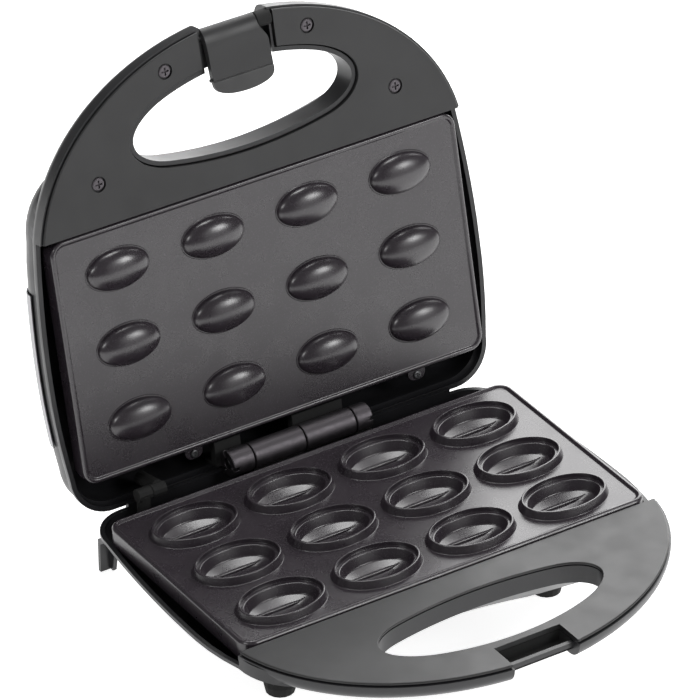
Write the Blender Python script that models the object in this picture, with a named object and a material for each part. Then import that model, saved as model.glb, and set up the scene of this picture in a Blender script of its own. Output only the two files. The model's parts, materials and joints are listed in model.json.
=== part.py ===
"""Walnut cookie mold: an electric clamshell iron that bakes twelve nut-shaped half shells.

The model is drawn closed, with the hinge axis as the X axis through the origin, +Y to the rear and
+Z up.  A height h is measured away from the parting plane: down in the lower half, up in the lid.
The lid then hangs from an empty on the hinge axis that stands open, and the latch from one in the lid.
"""

import bpy
import bmesh
from collections import namedtuple
from math import asin, cos, pi, radians, sin, sqrt
from mathutils import Matrix, Vector

MM = 0.001

# Fits
GAP = 0.3 * MM             # clearance between pieces that seat on each other
OVERRUN = 2.0 * MM         # how far a cutter runs past the face that it cuts
WALL = 2.2 * MM            # moulded wall of both shells

# Plan of the two shells
HALF_WIDTH = 113.0 * MM
BACK_Y = 6.0 * MM
JOIN_Y = -125.6 * MM       # where the sides run into the handle, and the covers begin
REAR_RADIUS = 19.0 * MM
HANDLE_CENTRE_Y = -112.2 * MM
HANDLE_STEP = 3.0 * MM     # the handle is narrower than the body at each side
HANDLE_A = HALF_WIDTH - HANDLE_STEP
HANDLE_B = 88.0 * MM
HANDLE_FRONT_Y = HANDLE_CENTRE_Y - HANDLE_B

# Handle opening, the same in both halves
BRIDGE_DEPTH = 15.0 * MM   # from the hot plate's edge to the opening
BAR_WIDTH = 20.8 * MM
OPENING_NEAR_Y = JOIN_Y - BRIDGE_DEPTH
OPENING_ARC_RADIUS = 202.0 * MM
OPENING_SIDE = 53.6 * MM   # solid handle beside the opening
OPENING_END_X = HANDLE_A - OPENING_SIDE
OPENING_ARC_X = OPENING_END_X - 16.5 * MM
OPENING_FAR_X = OPENING_END_X - 18.5 * MM
OPENING_END_DROP = 16.9 * MM
OPENING_END_Y = OPENING_NEAR_Y - OPENING_END_DROP
OPENING_FAR_A = HANDLE_A - 19.0 * MM
OPENING_FAR_B = HANDLE_B - BAR_WIDTH
OPENING_WALL = 2.0 * MM
NEAR_CURVE_SHARE = 0.55
FAR_CURVE_SHARE = 0.5
SEAM = 0.6 * MM            # dark line between a cover and the wall round the opening

# Stance
FOOT_HEIGHT = 8.4 * MM
FOOT_RADIUS = 7.5 * MM
FOOT_TIP_RADIUS = 6.6 * MM
FOOT_INSET = 43.0 * MM
FOOT_X = HALF_WIDTH - FOOT_INSET
FOOT_Y = JOIN_Y + 28.6 * MM
OPEN_ANGLE = radians(102.8)

# A half of the body.  sign is -1 for the lower half and +1 for the lid, all heights are h.
Half = namedtuple("Half", "sign widest draw step seam rim handle edge tub_top crown side front back "
                          "face bead skirt")
LOWER = Half(
    sign=-1,
    widest=-95.0 * MM,     # y at which the body is widest
    draw=9.0 * MM,         # how far each side draws in at the rear wall
    step=0.4 * MM,         # the tub stands back from the handle's outline
    seam=2.7 * MM,         # top of the handle's outer wall
    rim=8.0 * MM,          # top of the side and rear walls, below the proud plate
    handle=11.5 * MM,      # underside of the handle
    edge=8.0 * MM,         # rounding of the handle's outer edge
    tub_top=9.8 * MM,     # where the belly starts to draw in
    crown=43.0 * MM,       # flat bottom
    side=35.0 * MM,        # how far the belly draws in at the sides
    front=40.0 * MM,
    back=9.0 * MM,
    face=0.67 * MM,        # cooking face of the plate
    bead=-0.33 * MM,       # raised edge of the plate
    skirt=8.7 * MM,        # far edge of the plate's skirt
)
LID = Half(
    sign=1,
    widest=-60.0 * MM,
    draw=6.7 * MM,
    step=1.2 * MM,
    seam=3.9 * MM,
    rim=8.0 * MM,
    handle=16.0 * MM,
    edge=7.0 * MM,
    tub_top=16.0 * MM,
    crown=40.0 * MM,
    side=45.0 * MM,
    front=40.0 * MM,
    back=26.0 * MM,
    face=3.3 * MM,
    bead=2.6 * MM,
    skirt=11.3 * MM,
)
TUB_FRONT_RADIUS = 30.0 * MM
TUB_CROWN_RADIUS = 25.0 * MM
# The belly of the lower shell: rise, side run, front run and back run, as parts of the whole
BELLY_SHARES = ((0.0, 0.0, 0.0, 0.0), (0.50, 0.49, 0.48, 0.04), (0.95, 0.92, 0.92, 0.60),
                (1.0, 1.0, 1.0, 1.0))
LID_SHOULDER_STEPS = 4

# Handle covers
COVER_THICKNESS = 2.5 * MM
COVER_EDGE = 0.7 * MM      # rounding of the cover's outer edge
EDGE_STEP_SHARE = 0.33     # where the middle step of that rounding lies
SOFT_SHARE = 0.1           # broken edges of the barrels, by their radius
PIN_SOFT_SHARE = 0.25      # ends of the hinge pin, by its radius
HEAD_RIM_SHARE = 0.86      # flat of a screw head, by its radius
CROSS_ARM_SHARE = 0.6      # arm of the cross recess, by the head's radius
LENS_RIM_SHARE = 0.9       # middle step of a lens, by its flange
TAB_CURVE_SHARE = 0.6      # fullness of the latch tab's rounded end
WIRE_HOLE_SHARE = 0.2      # wire hole of the terminal block, by its height
COVER_INSET = 1.0 * MM     # each cover laps over the wall of the handle
LOWER_COVER_H = 1.0 * MM
UPPER_COVER_H = 2.5 * MM
NOTCH_X = (-16.0 * MM, 17.6 * MM)    # latch notch in the lower handle bar
NOTCH_WALL = 2.0 * MM
NOTCH_BACK_Y = HANDLE_FRONT_Y + 16.8 * MM
LIP_Y = HANDLE_FRONT_Y + 5.6 * MM    # outer face of the lip that the latch hooks under
LIP_WALL = 2.0 * MM
LIP_TOP_H = 3.0 * MM
LIP_BOTTOM_H = 6.2 * MM
HOOK_ROOM = 4.4 * MM       # open space for the hook behind the lip
UPPER_NOTCH_X = (-16.4 * MM, 18.4 * MM)
UPPER_NOTCH_WALL = 1.2 * MM
RECESS_H = 9.0 * MM        # depth of the latch recess in the lid's handle bar
RECESS_EDGE_Y = HANDLE_FRONT_Y + 10.2 * MM   # in front of it the bar is cut right through
DIVIDER = 2.0 * MM         # rib between the hot plate and the hollow handle

# Cooking plates
PLATE_SIDE = 8.0 * MM      # from the widest line of the body to the plate
PLATE_BACK = 16.8 * MM
PLATE_HALF_X = HALF_WIDTH - PLATE_SIDE
PLATE_BACK_Y = BACK_Y - PLATE_BACK
PLATE_FRONT_Y = JOIN_Y + 0.6 * MM
PLATE_RADIUS = 7.0 * MM
PLATE_WALL = 2.0 * MM
PLATE_SKIN = 2.6 * MM
BEAD_WIDTH = 1.8 * MM
COLUMNS = 4
ROWS = 3
NEST_SIDE = 31.5 * MM      # from the plate's edges to the outer nests
NEST_FRONT = 20.35 * MM
NEST_BACK = 23.07 * MM
PITCH_X = 2 * (PLATE_HALF_X - NEST_SIDE) / (COLUMNS - 1)
PITCH_Y = (PLATE_BACK_Y - NEST_BACK - PLATE_FRONT_Y - NEST_FRONT) / (ROWS - 1)
MIDDLE_ROW_Y = (PLATE_BACK_Y - NEST_BACK + PLATE_FRONT_Y + NEST_FRONT) / 2
OVAL_SEGMENTS = 14

# A cavity of the lower plate
NEST_GAP_X = 5.2 * MM      # between the feet of neighbouring rims
NEST_GAP_Y = 5.99 * MM
RIM_FLARE = 1.3 * MM
RIM_A = (PITCH_X - NEST_GAP_X) / 2 - RIM_FLARE
RIM_B = (PITCH_Y - NEST_GAP_Y) / 2 - RIM_FLARE
RIM_RISE = 3.67 * MM
RIM_WIDTH = 1.5 * MM
LEDGE_DROP = 2.2 * MM
LEDGE_WIDTH = 1.2 * MM
BOWL_INSET = 4.7 * MM
BOWL_A = RIM_A - BOWL_INSET
BOWL_B = RIM_B - BOWL_INSET
BOWL_EDGE_DROP = 6.6 * MM  # below the rim
BOWL_DROP = 8.6 * MM
RIDGE_INSET = 2.2 * MM     # from the ends of the bowl
RIDGE_HALF = BOWL_A - RIDGE_INSET
RIDGE_WIDTH = 2.4 * MM
RIDGE_OFFSET = 2.5 * MM
RIDGE_TOP_DROP = 6.7 * MM
CUP_INSET = 1.2 * MM
CUP_DRAFT = 6.0 * MM
CUP_A = RIM_A - CUP_INSET
CUP_B = RIM_B - CUP_INSET
CUP_TIP_A = CUP_A - CUP_DRAFT
CUP_TIP_B = CUP_B - CUP_DRAFT
CUP_SEGMENTS = 10

# A dome of the upper plate
DOME_SPACE_X = 4.8 * MM    # from the rim's crest to the dome that enters it
DOME_SPACE_Y = 4.1 * MM
DOME_A = RIM_A - DOME_SPACE_X
DOME_B = RIM_B - DOME_SPACE_Y
DOME_HEIGHT = 5.6 * MM
DOME_ROLL = 0.7 * MM
DOME_ROLL_RISE = 0.4 * MM
DOME_RING_ANGLES = (radians(30.0), radians(62.0))

# Lugs that screw the plates down at the rear
LUG_WIDTH = 9.0 * MM
LUG_LENGTH = 6.5 * MM
LUG_THICKNESS = 1.5 * MM
LUG_DEPTH = 4.5 * MM       # below the cooking face
UPPER_LUG_X = (-47.0 * MM, 71.0 * MM)
LOWER_LUG_X = (-66.0 * MM, 71.0 * MM)

# Hinge
BARREL_RADIUS = 6.15 * MM
PIN_RADIUS = 2.2 * MM
LEFT_KNUCKLE_X = (-35.5 * MM, -24.3 * MM)     # lid
LOWER_BARREL_X = (-23.9 * MM, 2.6 * MM)
UPPER_BARREL_X = (3.0 * MM, 29.3 * MM)
RIGHT_KNUCKLE_X = (29.7 * MM, 38.0 * MM)      # lower half
LEAF_THICKNESS = 1.6 * MM
LEAF_FRONT_Y = -9.2 * MM
LEAF_REACH_H = 16.0 * MM
LEAF_CLEAR = 0.5 * MM

# Sleeve of the link wires, split on the hinge axis
SLEEVE_INSET = 30.5 * MM
SLEEVE_LENGTH = 14.0 * MM
SLEEVE_X = (SLEEVE_INSET - HALF_WIDTH, SLEEVE_INSET - HALF_WIDTH + SLEEVE_LENGTH)
SLEEVE_RADIUS = 3.2 * MM
SLEEVE_REACH_H = 15.0 * MM

# Screws
SCREW_HEAD_RADIUS = 3.0 * MM
SCREW_HEAD_HEIGHT = 1.3 * MM
SCREW_SHANK_RADIUS = 1.5 * MM
SCREW_LENGTH = 9.0 * MM
SCREW_SLOT = 0.8 * MM
SCREW_SLOT_DEPTH = 0.8 * MM
SMALL_SCREW_SHARE = 0.62
BOSS_RADIUS = 3.6 * MM
BAR_SCREW_X = 36.6 * MM
UPPER_SCREW_POINTS = ((HANDLE_A - 33.2 * MM, JOIN_Y - 19.4 * MM),
                      (BAR_SCREW_X, HANDLE_FRONT_Y + 14.8 * MM))
LOWER_SCREW_POINTS = ((HANDLE_A - 41.6 * MM, HANDLE_FRONT_Y + 39.7 * MM),
                      (BAR_SCREW_X, HANDLE_FRONT_Y + 20.0 * MM))

# Latch, drawn with its axle as the X axis and hanging down
LATCH_Y = HANDLE_FRONT_Y + 5.7 * MM
LATCH_Z = 5.0 * MM
LATCH_FOLD = radians(82.6)
LATCH_BARREL_RADIUS = 3.5 * MM
EAR_RADIUS = 5.0 * MM
LATCH_BARREL_HALF = 13.2 * MM
EAR_INNER_X = LATCH_BARREL_HALF + GAP
LATCH_HALF = 15.4 * MM     # below the ears
LATCH_FLARE = (6.0 * MM, 9.5 * MM)    # where the body widens
LATCH_THICKNESS = 3.0 * MM
LATCH_REACH = 20.3 * MM
LATCH_TAB = 7.6 * MM
LATCH_TAB_LEAN = 1.6 * MM
HOOK_TOP = LATCH_Z + LIP_BOTTOM_H + GAP    # below the axle
HOOK_RISE = 2.7 * MM
HOOK_THICKNESS = 1.9 * MM
HOOK_HALF = 14.0 * MM
PEG_RADIUS = 0.8 * MM      # finger pegs at the ends of the crease
PEG_HALF = 16.6 * MM
AXLE_RADIUS = 1.25 * MM

# Inside
TRAY_SHEET = 0.8 * MM
TRAY_DEPTH = 4.6 * MM
TRAY_INSET = 5.5 * MM
TRAY_RADIUS = 8.0 * MM
ELEMENT_RADIUS = 3.2 * MM
ELEMENT_CLEAR = 0.5 * MM
ELEMENT_END_X = 10.0 * MM - PLATE_HALF_X
ELEMENT_TURN_X = PLATE_HALF_X - TRAY_INSET - TRAY_SHEET - ELEMENT_CLEAR - ELEMENT_RADIUS
ELEMENT_BEND = 8.0 * MM
ELEMENT_PIN_RADIUS = 1.5 * MM
ELEMENT_PIN_LENGTH = 5.0 * MM
POST_RADIUS = 4.0 * MM
POST_X = PLATE_HALF_X - 47.0 * MM
POST_FRONT_Y = PLATE_FRONT_Y + 33.0 * MM
POST_BACK_Y = PLATE_BACK_Y - 23.2 * MM
THERMOSTAT_X = 8.0 * MM
THERMOSTAT_Y = 21.0 * MM
FUSE_RADIUS = 2.0 * MM
FUSE_LENGTH = 16.0 * MM
BLOCK_SIZE = (30.0 * MM, 14.0 * MM, 12.0 * MM)
BLOCK_POINT = (-34.0 * MM, -24.0 * MM)
INLET_X = -52.0 * MM
INLET_H = 20.0 * MM
INLET_RADIUS = 5.5 * MM
INLET_BORE_RADIUS = 3.4 * MM
INLET_FLANGE_RADIUS = 7.2 * MM
INLET_FLANGE = 1.6 * MM

# Steel panel over the lid, with two indicator lenses
PANEL_FRONT_Y = -100.0 * MM
PANEL_BACK_Y = -28.0 * MM
PANEL_SHEET = 0.6 * MM
PANEL_GAP = 0.45 * MM      # between the bent sheet and the shell under it
LENS_X = 9.0 * MM
LENS_Y = -88.0 * MM
LENS_RADIUS = 3.2 * MM
LENS_FLANGE = 1.0 * MM
LENS_DOME = 1.2 * MM
LENS_DEPTH = 5.0 * MM
LAMP_RADIUS = 2.3 * MM
LAMP_LENGTH = 8.0 * MM

# Rear legs, a folded flange on a web
LEG_INSET = 25.0 * MM
LEG_WIDTH = 7.0 * MM
LEG_X = (HALF_WIDTH - LEG_INSET - LEG_WIDTH, HALF_WIDTH - LEG_INSET)
LEG_REACH_Y = 26.0 * MM
LEG_ROOT_Y = -12.0 * MM
LEG_TOP_H = 22.0 * MM
LEG_KNEE_H = 35.0 * MM
LEG_UNDER_H = 40.0 * MM
LEG_FOOT_Y = 22.0 * MM
LEG_WALL = 2.0 * MM

GROUND_H = LOWER.crown + GAP + FOOT_HEIGHT
LID_REACH_H = LID.crown + PANEL_GAP + PANEL_SHEET


def material(name, colour, roughness, metallic=0.0):
    """Principled material of one moulded, coated or metal finish."""
    mat = bpy.data.materials.new(name)
    mat.use_nodes = True
    shader = mat.node_tree.nodes["Principled BSDF"]
    shader.inputs["Base Color"].default_value = (*colour, 1.0)
    shader.inputs["Roughness"].default_value = roughness
    shader.inputs["Metallic"].default_value = metallic
    mat.diffuse_color = (*colour, 1.0)
    return mat


def empty(name, location, parent=None, turn_x=0.0):
    holder = bpy.data.objects.new(name, None)
    bpy.context.scene.collection.objects.link(holder)
    holder.parent = parent
    holder.location = location
    holder.rotation_euler = (turn_x, 0.0, 0.0)
    return holder


def finish(name, bm, mat, parent, sharp=radians(35.0)):
    """Turn a bmesh into a named object, with its faces pointing out."""
    bmesh.ops.recalc_face_normals(bm, faces=bm.faces)
    mesh = bpy.data.meshes.new(name)
    bm.to_mesh(mesh)
    bm.free()
    mesh.shade_smooth()
    mesh.set_sharp_from_angle(angle=sharp)
    if mat is not None:
        mesh.materials.append(mat)
    thing = bpy.data.objects.new(name, mesh)
    bpy.context.scene.collection.objects.link(thing)
    thing.parent = parent
    return thing


def combine(target, others, operation):
    """Join, cut or intersect an object with others, which are used up."""
    for other in others:
        step = target.modifiers.new(operation, "BOOLEAN")
        step.operation = operation
        step.solver = "EXACT"
        step.object = other
        depsgraph = bpy.context.evaluated_depsgraph_get()
        shaped = bpy.data.meshes.new_from_object(target.evaluated_get(depsgraph))
        target.modifiers.remove(step)
        old = target.data
        target.data = shaped
        bpy.data.meshes.remove(old)
        bpy.data.objects.remove(other)
    return target


def cut(target, *cutters):
    return combine(target, cutters, "DIFFERENCE")


def join(target, *others):
    return combine(target, others, "UNION")


def keep_common(target, *others):
    return combine(target, others, "INTERSECT")


def scratch(bm, name="guide"):
    """A shape that is only used to cut or join another, drawn in the closed frame."""
    return finish(name, bm, None, None)


def loop_verts(bm, points, z):
    return [bm.verts.new((x, y, z)) for x, y in points]


def skin(bm, loop_a, loop_b):
    count = len(loop_a)
    for i in range(count):
        j = (i + 1) % count
        bm.faces.new((loop_a[i], loop_a[j], loop_b[j], loop_b[i]))


def loft(bm, levels):
    """Closed solid through outlines of equal count: levels is a list of (points, z)."""
    rings = [loop_verts(bm, points, z) for points, z in levels]
    for ring_a, ring_b in zip(rings, rings[1:]):
        skin(bm, ring_a, ring_b)
    bm.faces.new(rings[0])
    bm.faces.new(rings[-1])
    return rings


def fill(bm, loops):
    """Fill the flat area inside the first loop and outside the others."""
    edges = []
    for loop in loops:
        for i, vert in enumerate(loop):
            pair = (vert, loop[(i + 1) % len(loop)])
            edges.append(bm.edges.get(pair) or bm.edges.new(pair))
    bmesh.ops.triangle_fill(bm, use_beauty=True, edges=edges, normal=Vector((0.0, 0.0, 1.0)))


def box(bm, low, high):
    """Box between two corners."""
    size = [high[i] - low[i] for i in range(3)]
    centre = [(high[i] + low[i]) / 2 for i in range(3)]
    place = Matrix.Translation(centre) @ Matrix.Diagonal((*size, 1.0))
    return bmesh.ops.create_cube(bm, size=1.0, matrix=place)["verts"]


def block(low, high):
    bm = bmesh.new()
    box(bm, low, high)
    return scratch(bm)


def turn(bm, profile, centre, axis, segments, hollow=False):
    """Turned solid from (distance along the axis, radius) points; a hollow profile is a closed loop."""
    frames = {"X": Matrix(((0, 0, 1), (1, 0, 0), (0, 1, 0))).to_4x4(),
              "Y": Matrix(((0, 1, 0), (0, 0, 1), (1, 0, 0))).to_4x4(),
              "Z": Matrix.Identity(4)}
    place = Matrix.Translation(centre) @ frames[axis]
    rings = []
    for along, radius in profile:
        ring = []
        for i in range(segments):
            angle = 2 * pi * (i + 0.5) / segments
            ring.append(bm.verts.new(place @ Vector((radius * cos(angle), radius * sin(angle), along))))
        rings.append(ring)
    for ring_a, ring_b in zip(rings, rings[1:]):
        skin(bm, ring_a, ring_b)
    if hollow:
        skin(bm, rings[-1], rings[0])
    else:
        bm.faces.new(rings[0])
        bm.faces.new(rings[-1])


def turned(profile, centre, axis, segments=16, hollow=False):
    bm = bmesh.new()
    turn(bm, profile, centre, axis, segments, hollow)
    return scratch(bm)


def prism(points, z_low, z_high):
    bm = bmesh.new()
    loft(bm, [(points, z_low), (points, z_high)])
    return scratch(bm)


def side_prism(bm, points, x_low, x_high):
    """Solid with a (y, z) outline between two values of x."""
    rings = [[bm.verts.new((x, y, z)) for y, z in points] for x in (x_low, x_high)]
    skin(bm, rings[0], rings[1])
    bm.faces.new(rings[0])
    bm.faces.new(rings[1])


def offset(points, distance):
    """Move a counter-clockwise outline outwards along its normals."""
    moved = []
    count = len(points)
    for i, (x, y) in enumerate(points):
        ax, ay = points[i - 1]
        bx, by = points[(i + 1) % count]
        before = Vector((y - ay, ax - x)).normalized()
        after = Vector((by - y, x - bx)).normalized()
        normal = (before + after).normalized()
        stretch = distance / max(normal.dot(after), 0.5)
        moved.append((x + normal.x * stretch, y + normal.y * stretch))
    return moved


def oval(centre, a, b, segments):
    points = []
    for i in range(segments):
        angle = 2 * pi * i / segments
        points.append((centre[0] + a * cos(angle), centre[1] + b * sin(angle)))
    return points


def arc(centre, radius, start, stop, steps):
    points = []
    for i in range(steps + 1):
        angle = start + (stop - start) * i / steps
        points.append((centre[0] + radius * cos(angle), centre[1] + radius * sin(angle)))
    return points


def rounded_box(x_half, y_low, y_high, radius, steps=4):
    """Counter-clockwise rectangle with round corners."""
    points = []
    points += arc((x_half - radius, y_high - radius), radius, 0.0, pi / 2, steps)
    points += arc((-x_half + radius, y_high - radius), radius, pi / 2, pi, steps)
    points += arc((-x_half + radius, y_low + radius), radius, pi, 3 * pi / 2, steps)
    points += arc((x_half - radius, y_low + radius), radius, 3 * pi / 2, 2 * pi, steps)
    return points


def bezier(p0, p1, p2, p3, steps):
    """Points on a cubic curve, without its last one."""
    points = []
    for i in range(steps):
        t = i / steps
        u = 1 - t
        weights = (u * u * u, 3 * u * u * t, 3 * u * t * t, t * t * t)
        corners = (p0, p1, p2, p3)
        points.append(tuple(sum(w * p[k] for w, p in zip(weights, corners)) for k in (0, 1)))
    return points


def handle_arc(inset, steps=20):
    """Elliptical handle outline from the left join to the right join, counter-clockwise."""
    a = HANDLE_A - inset
    b = HANDLE_B - inset
    first = asin((HANDLE_CENTRE_Y - JOIN_Y) / b)
    points = []
    for i in range(steps + 1):
        angle = first + (pi - 2 * first) * i / steps
        points.append((-a * cos(angle), HANDLE_CENTRE_Y - b * sin(angle)))
    return points


def side_x(half, y, inset):
    """Half width of the bulged body at y."""
    join_x = HANDLE_A * cos(asin((HANDLE_CENTRE_Y - JOIN_Y) / HANDLE_B))
    if y < half.widest:
        draw = (HALF_WIDTH - join_x) * ((half.widest - y) / (half.widest - JOIN_Y)) ** 2
    else:
        draw = half.draw * ((y - half.widest) / (BACK_Y - half.widest)) ** 2
    return HALF_WIDTH - draw - inset


def mirrored(points):
    return [(-x, y) for x, y in reversed(points)]


def right_side(half, front_y, back_y, inset, radius, steps=4):
    """Right side and rear right corner, from the front to the rear."""
    points = []
    for i in range(1, steps):
        y = front_y + (back_y - radius - front_y) * i / steps
        points.append((side_x(half, y, inset), y))
    corner_y = back_y - radius
    corner_x = side_x(half, corner_y, inset) - radius
    return points + arc((corner_x, corner_y), radius, 0.0, pi / 2, 5)


def body_outline(half, inset):
    """Plan of a shell: elliptical handle, bulged sides and a straight rear wall."""
    right = right_side(half, JOIN_Y, BACK_Y - inset, inset, REAR_RADIUS - inset)
    return handle_arc(inset) + right + mirrored(right)


def opening_outline(grow=0.0, steps=4):
    """Plan of the handle opening, counter-clockwise, symmetrical about x = 0."""
    near_y = OPENING_NEAR_Y - OPENING_ARC_X ** 2 / (2 * OPENING_ARC_RADIUS)
    near_slope = OPENING_ARC_X / OPENING_ARC_RADIUS
    far_root = sqrt(1 - (OPENING_FAR_X / OPENING_FAR_A) ** 2)
    far_y = HANDLE_CENTRE_Y - OPENING_FAR_B * far_root
    far_slope = OPENING_FAR_B * OPENING_FAR_X / (OPENING_FAR_A ** 2 * far_root)
    near_handle = NEAR_CURVE_SHARE * (OPENING_END_X - OPENING_ARC_X)
    far_handle = FAR_CURVE_SHARE * (OPENING_END_X - OPENING_FAR_X)
    end_handle = FAR_CURVE_SHARE * (near_y - OPENING_END_Y)
    bar = []
    for i in range(steps):
        x = OPENING_FAR_X * i / steps
        bar.append((x, HANDLE_CENTRE_Y - OPENING_FAR_B * sqrt(1 - (x / OPENING_FAR_A) ** 2)))
    low_end = bezier((OPENING_FAR_X, far_y),
                     (OPENING_FAR_X + far_handle, far_y + far_slope * far_handle),
                     (OPENING_END_X, OPENING_END_Y - end_handle),
                     (OPENING_END_X, OPENING_END_Y), steps)
    high_end = bezier((OPENING_END_X, OPENING_END_Y),
                      (OPENING_END_X, OPENING_END_Y + end_handle),
                      (OPENING_ARC_X + near_handle, near_y - near_slope * near_handle),
                      (OPENING_ARC_X, near_y), steps)
    near = []
    for i in range(steps):
        x = OPENING_ARC_X * (1 - i / steps)
        near.append((x, OPENING_NEAR_Y - x * x / (2 * OPENING_ARC_RADIUS)))
    half = bar + low_end + high_end + near
    whole = half + [(0.0, OPENING_NEAR_Y)] + mirrored(half[1:])
    return offset(whole, grow)


def tub_outline(half, side, front, back, front_radius, back_radius):
    """Plan of the body behind the handle, with a front that follows the opening."""
    def front_y(x):
        return OPENING_NEAR_Y + front - x * x / (2 * OPENING_ARC_RADIUS)

    back_y = BACK_Y - back
    corner_x = side_x(half, JOIN_Y, side) - front_radius
    corner_y = front_y(corner_x) + front_radius
    edge = []
    steps = 4
    for i in range(steps):
        x = corner_x * i / steps
        edge.append((x, front_y(x)))
    right = edge + arc((corner_x, corner_y), front_radius, -pi / 2, 0.0, 4)
    right += right_side(half, corner_y, back_y, side, back_radius)
    return right + mirrored(right[1:])


def tub_levels(half):
    """Outline insets of the tub as rows of height, side, front, back and corner shares."""
    rise = half.crown - half.tub_top
    rows = []
    if half.sign < 0:
        for up, side, front, back in BELLY_SHARES:
            rows.append((half.tub_top + rise * up, half.side * side, half.front * front,
                         half.back * back, up))
    else:
        for i in range(LID_SHOULDER_STEPS + 1):
            angle = pi / 2 * i / LID_SHOULDER_STEPS
            run = 1 - cos(angle)
            rows.append((half.tub_top + rise * sin(angle), half.side * run, half.front * run,
                         half.back * run, run))
    return rows


def tub_outlines(half, grow, start):
    """Outlines of the tub with their z, from height start to its crown, moved out by grow."""
    levels = []
    rows = tub_levels(half)
    lowest = (start,) + rows[0][1:]
    for h, side, front, back, share in [lowest] + rows:
        front_radius = TUB_FRONT_RADIUS + (TUB_CROWN_RADIUS - TUB_FRONT_RADIUS) * share + grow
        outline = tub_outline(half, half.step + side - grow, half.step + front - grow,
                              half.step + back - grow, front_radius, REAR_RADIUS + grow)
        levels.append((outline, half.sign * (h + grow * share)))
    return levels


def tub(half, grow, start):
    bm = bmesh.new()
    loft(bm, tub_outlines(half, grow, start))
    return scratch(bm)


def slab_levels(half, inset, start, stop, steps=3):
    """Handle ring's outlines, with a rounded outer edge at the far side."""
    radius = half.edge
    rows = [(start, inset), (half.handle - radius, inset)]
    for i in range(1, steps + 1):
        angle = pi / 2 * i / steps
        rows.append((half.handle - radius + radius * sin(angle), inset + radius * (1 - cos(angle))))
    scale = (stop - rows[1][0]) / (half.handle - rows[1][0])
    return [(body_outline(half, i), half.sign * (h if n < 1 else rows[1][0] + (h - rows[1][0]) * scale))
            for n, (h, i) in enumerate(rows)]


def slab(half, inset, start, stop):
    bm = bmesh.new()
    loft(bm, slab_levels(half, inset, start, stop))
    return scratch(bm)


def span(half, h_low, h_high):
    """The two z values of a height range, lowest first."""
    return sorted((half.sign * h_low, half.sign * h_high))


def shell_box(half, x_low, x_high, y_low, y_high, h_low, h_high):
    z_low, z_high = span(half, h_low, h_high)
    return block((x_low, y_low, z_low), (x_high, y_high, z_high))


def screw_places(half):
    points = UPPER_SCREW_POINTS if half.sign > 0 else LOWER_SCREW_POINTS
    return [(side * x, y) for x, y in points for side in (-1, 1)]


def cover_back(face_h):
    return face_h + COVER_THICKNESS


def half_shell(half, cover_h):
    """One moulded shell: handle ring and tub, hollow and open towards the plate."""
    outer = join(slab(half, 0.0, half.seam, half.handle),
                 tub(half, 0.0, half.handle - half.edge))
    hollow = slab(half, WALL, -OVERRUN, half.handle - WALL)
    ring = prism(opening_outline(OPENING_WALL), *span(half, -2 * OVERRUN, half.handle + OVERRUN))
    hollow = cut(hollow, ring)
    deep = tub(half, -WALL, half.handle - 2 * WALL)
    hollow = join(hollow, deep)
    divider = shell_box(half, -HALF_WIDTH, HALF_WIDTH, JOIN_Y - DIVIDER, JOIN_Y,
                        cover_back(cover_h) + GAP, half.handle + DIVIDER)
    hollow = cut(hollow, divider)
    front_y = HANDLE_CENTRE_Y - HANDLE_B - OVERRUN
    if half.sign < 0:
        keep = shell_box(half, NOTCH_X[0] - NOTCH_WALL, NOTCH_X[1] + NOTCH_WALL, front_y,
                         LIP_Y + LIP_WALL, cover_back(cover_h) + GAP, half.handle + OVERRUN)
    else:
        keep = shell_box(half, UPPER_NOTCH_X[0] - UPPER_NOTCH_WALL, UPPER_NOTCH_X[1] + UPPER_NOTCH_WALL,
                         front_y, OPENING_NEAR_Y, -2 * OVERRUN, half.handle + OVERRUN)
    hollow = cut(hollow, keep)
    post_h = half.skirt + GAP + TRAY_DEPTH + GAP
    for x, y in post_places():
        z_low, z_high = span(half, post_h, half.crown)
        hollow = cut(hollow, turned([(z_low, POST_RADIUS), (z_high, POST_RADIUS)], (x, y, 0.0), "Z", 10))
    if half.sign > 0:
        foot = cover_back(cover_h) + GAP
        for x, y in screw_places(half):
            boss = turned([(foot, BOSS_RADIUS), (half.crown, BOSS_RADIUS)], (x, y, 0.0), "Z", 12)
            hollow = cut(hollow, boss)
    shell = cut(outer, hollow)
    shell = cut(shell, prism(opening_outline(), *span(half, 0.0, half.crown)))
    shell = cut(shell, shell_box(half, -2 * HALF_WIDTH, 2 * HALF_WIDTH, JOIN_Y, 2 * REAR_RADIUS,
                                 0.0, half.rim))
    for x, y in screw_places(half):
        if half.sign < 0:
            hole = [(-half.handle - OVERRUN, SCREW_HEAD_RADIUS + 2 * GAP),
                    (-half.handle + SCREW_HEAD_HEIGHT, SCREW_HEAD_RADIUS + 2 * GAP)]
            shell = cut(shell, turned(hole, (x, y, 0.0), "Z", 12))
            bore = [(-half.handle - OVERRUN, SCREW_SHANK_RADIUS + GAP),
                    (-half.handle + WALL + OVERRUN, SCREW_SHANK_RADIUS + GAP)]
        else:
            bore = [(foot - OVERRUN, SCREW_SHANK_RADIUS + GAP),
                    (foot + SCREW_LENGTH, SCREW_SHANK_RADIUS + GAP)]
        shell = cut(shell, turned(bore, (x, y, 0.0), "Z", 10))
    return shell


def post_places():
    return [(side * POST_X, y) for y in (POST_FRONT_Y, POST_BACK_Y) for side in (-1, 1)]


def shade(thing, sharp=radians(35.0)):
    thing.data.shade_smooth()
    thing.data.set_sharp_from_angle(angle=sharp)


def dress(thing, name, mat, parent):
    """Give a shape made with cuts its name, material and parent."""
    thing.name = name
    thing.data.name = name
    thing.data.materials.clear()
    thing.data.materials.append(mat)
    thing.parent = parent
    shade(thing)
    return thing


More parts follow.
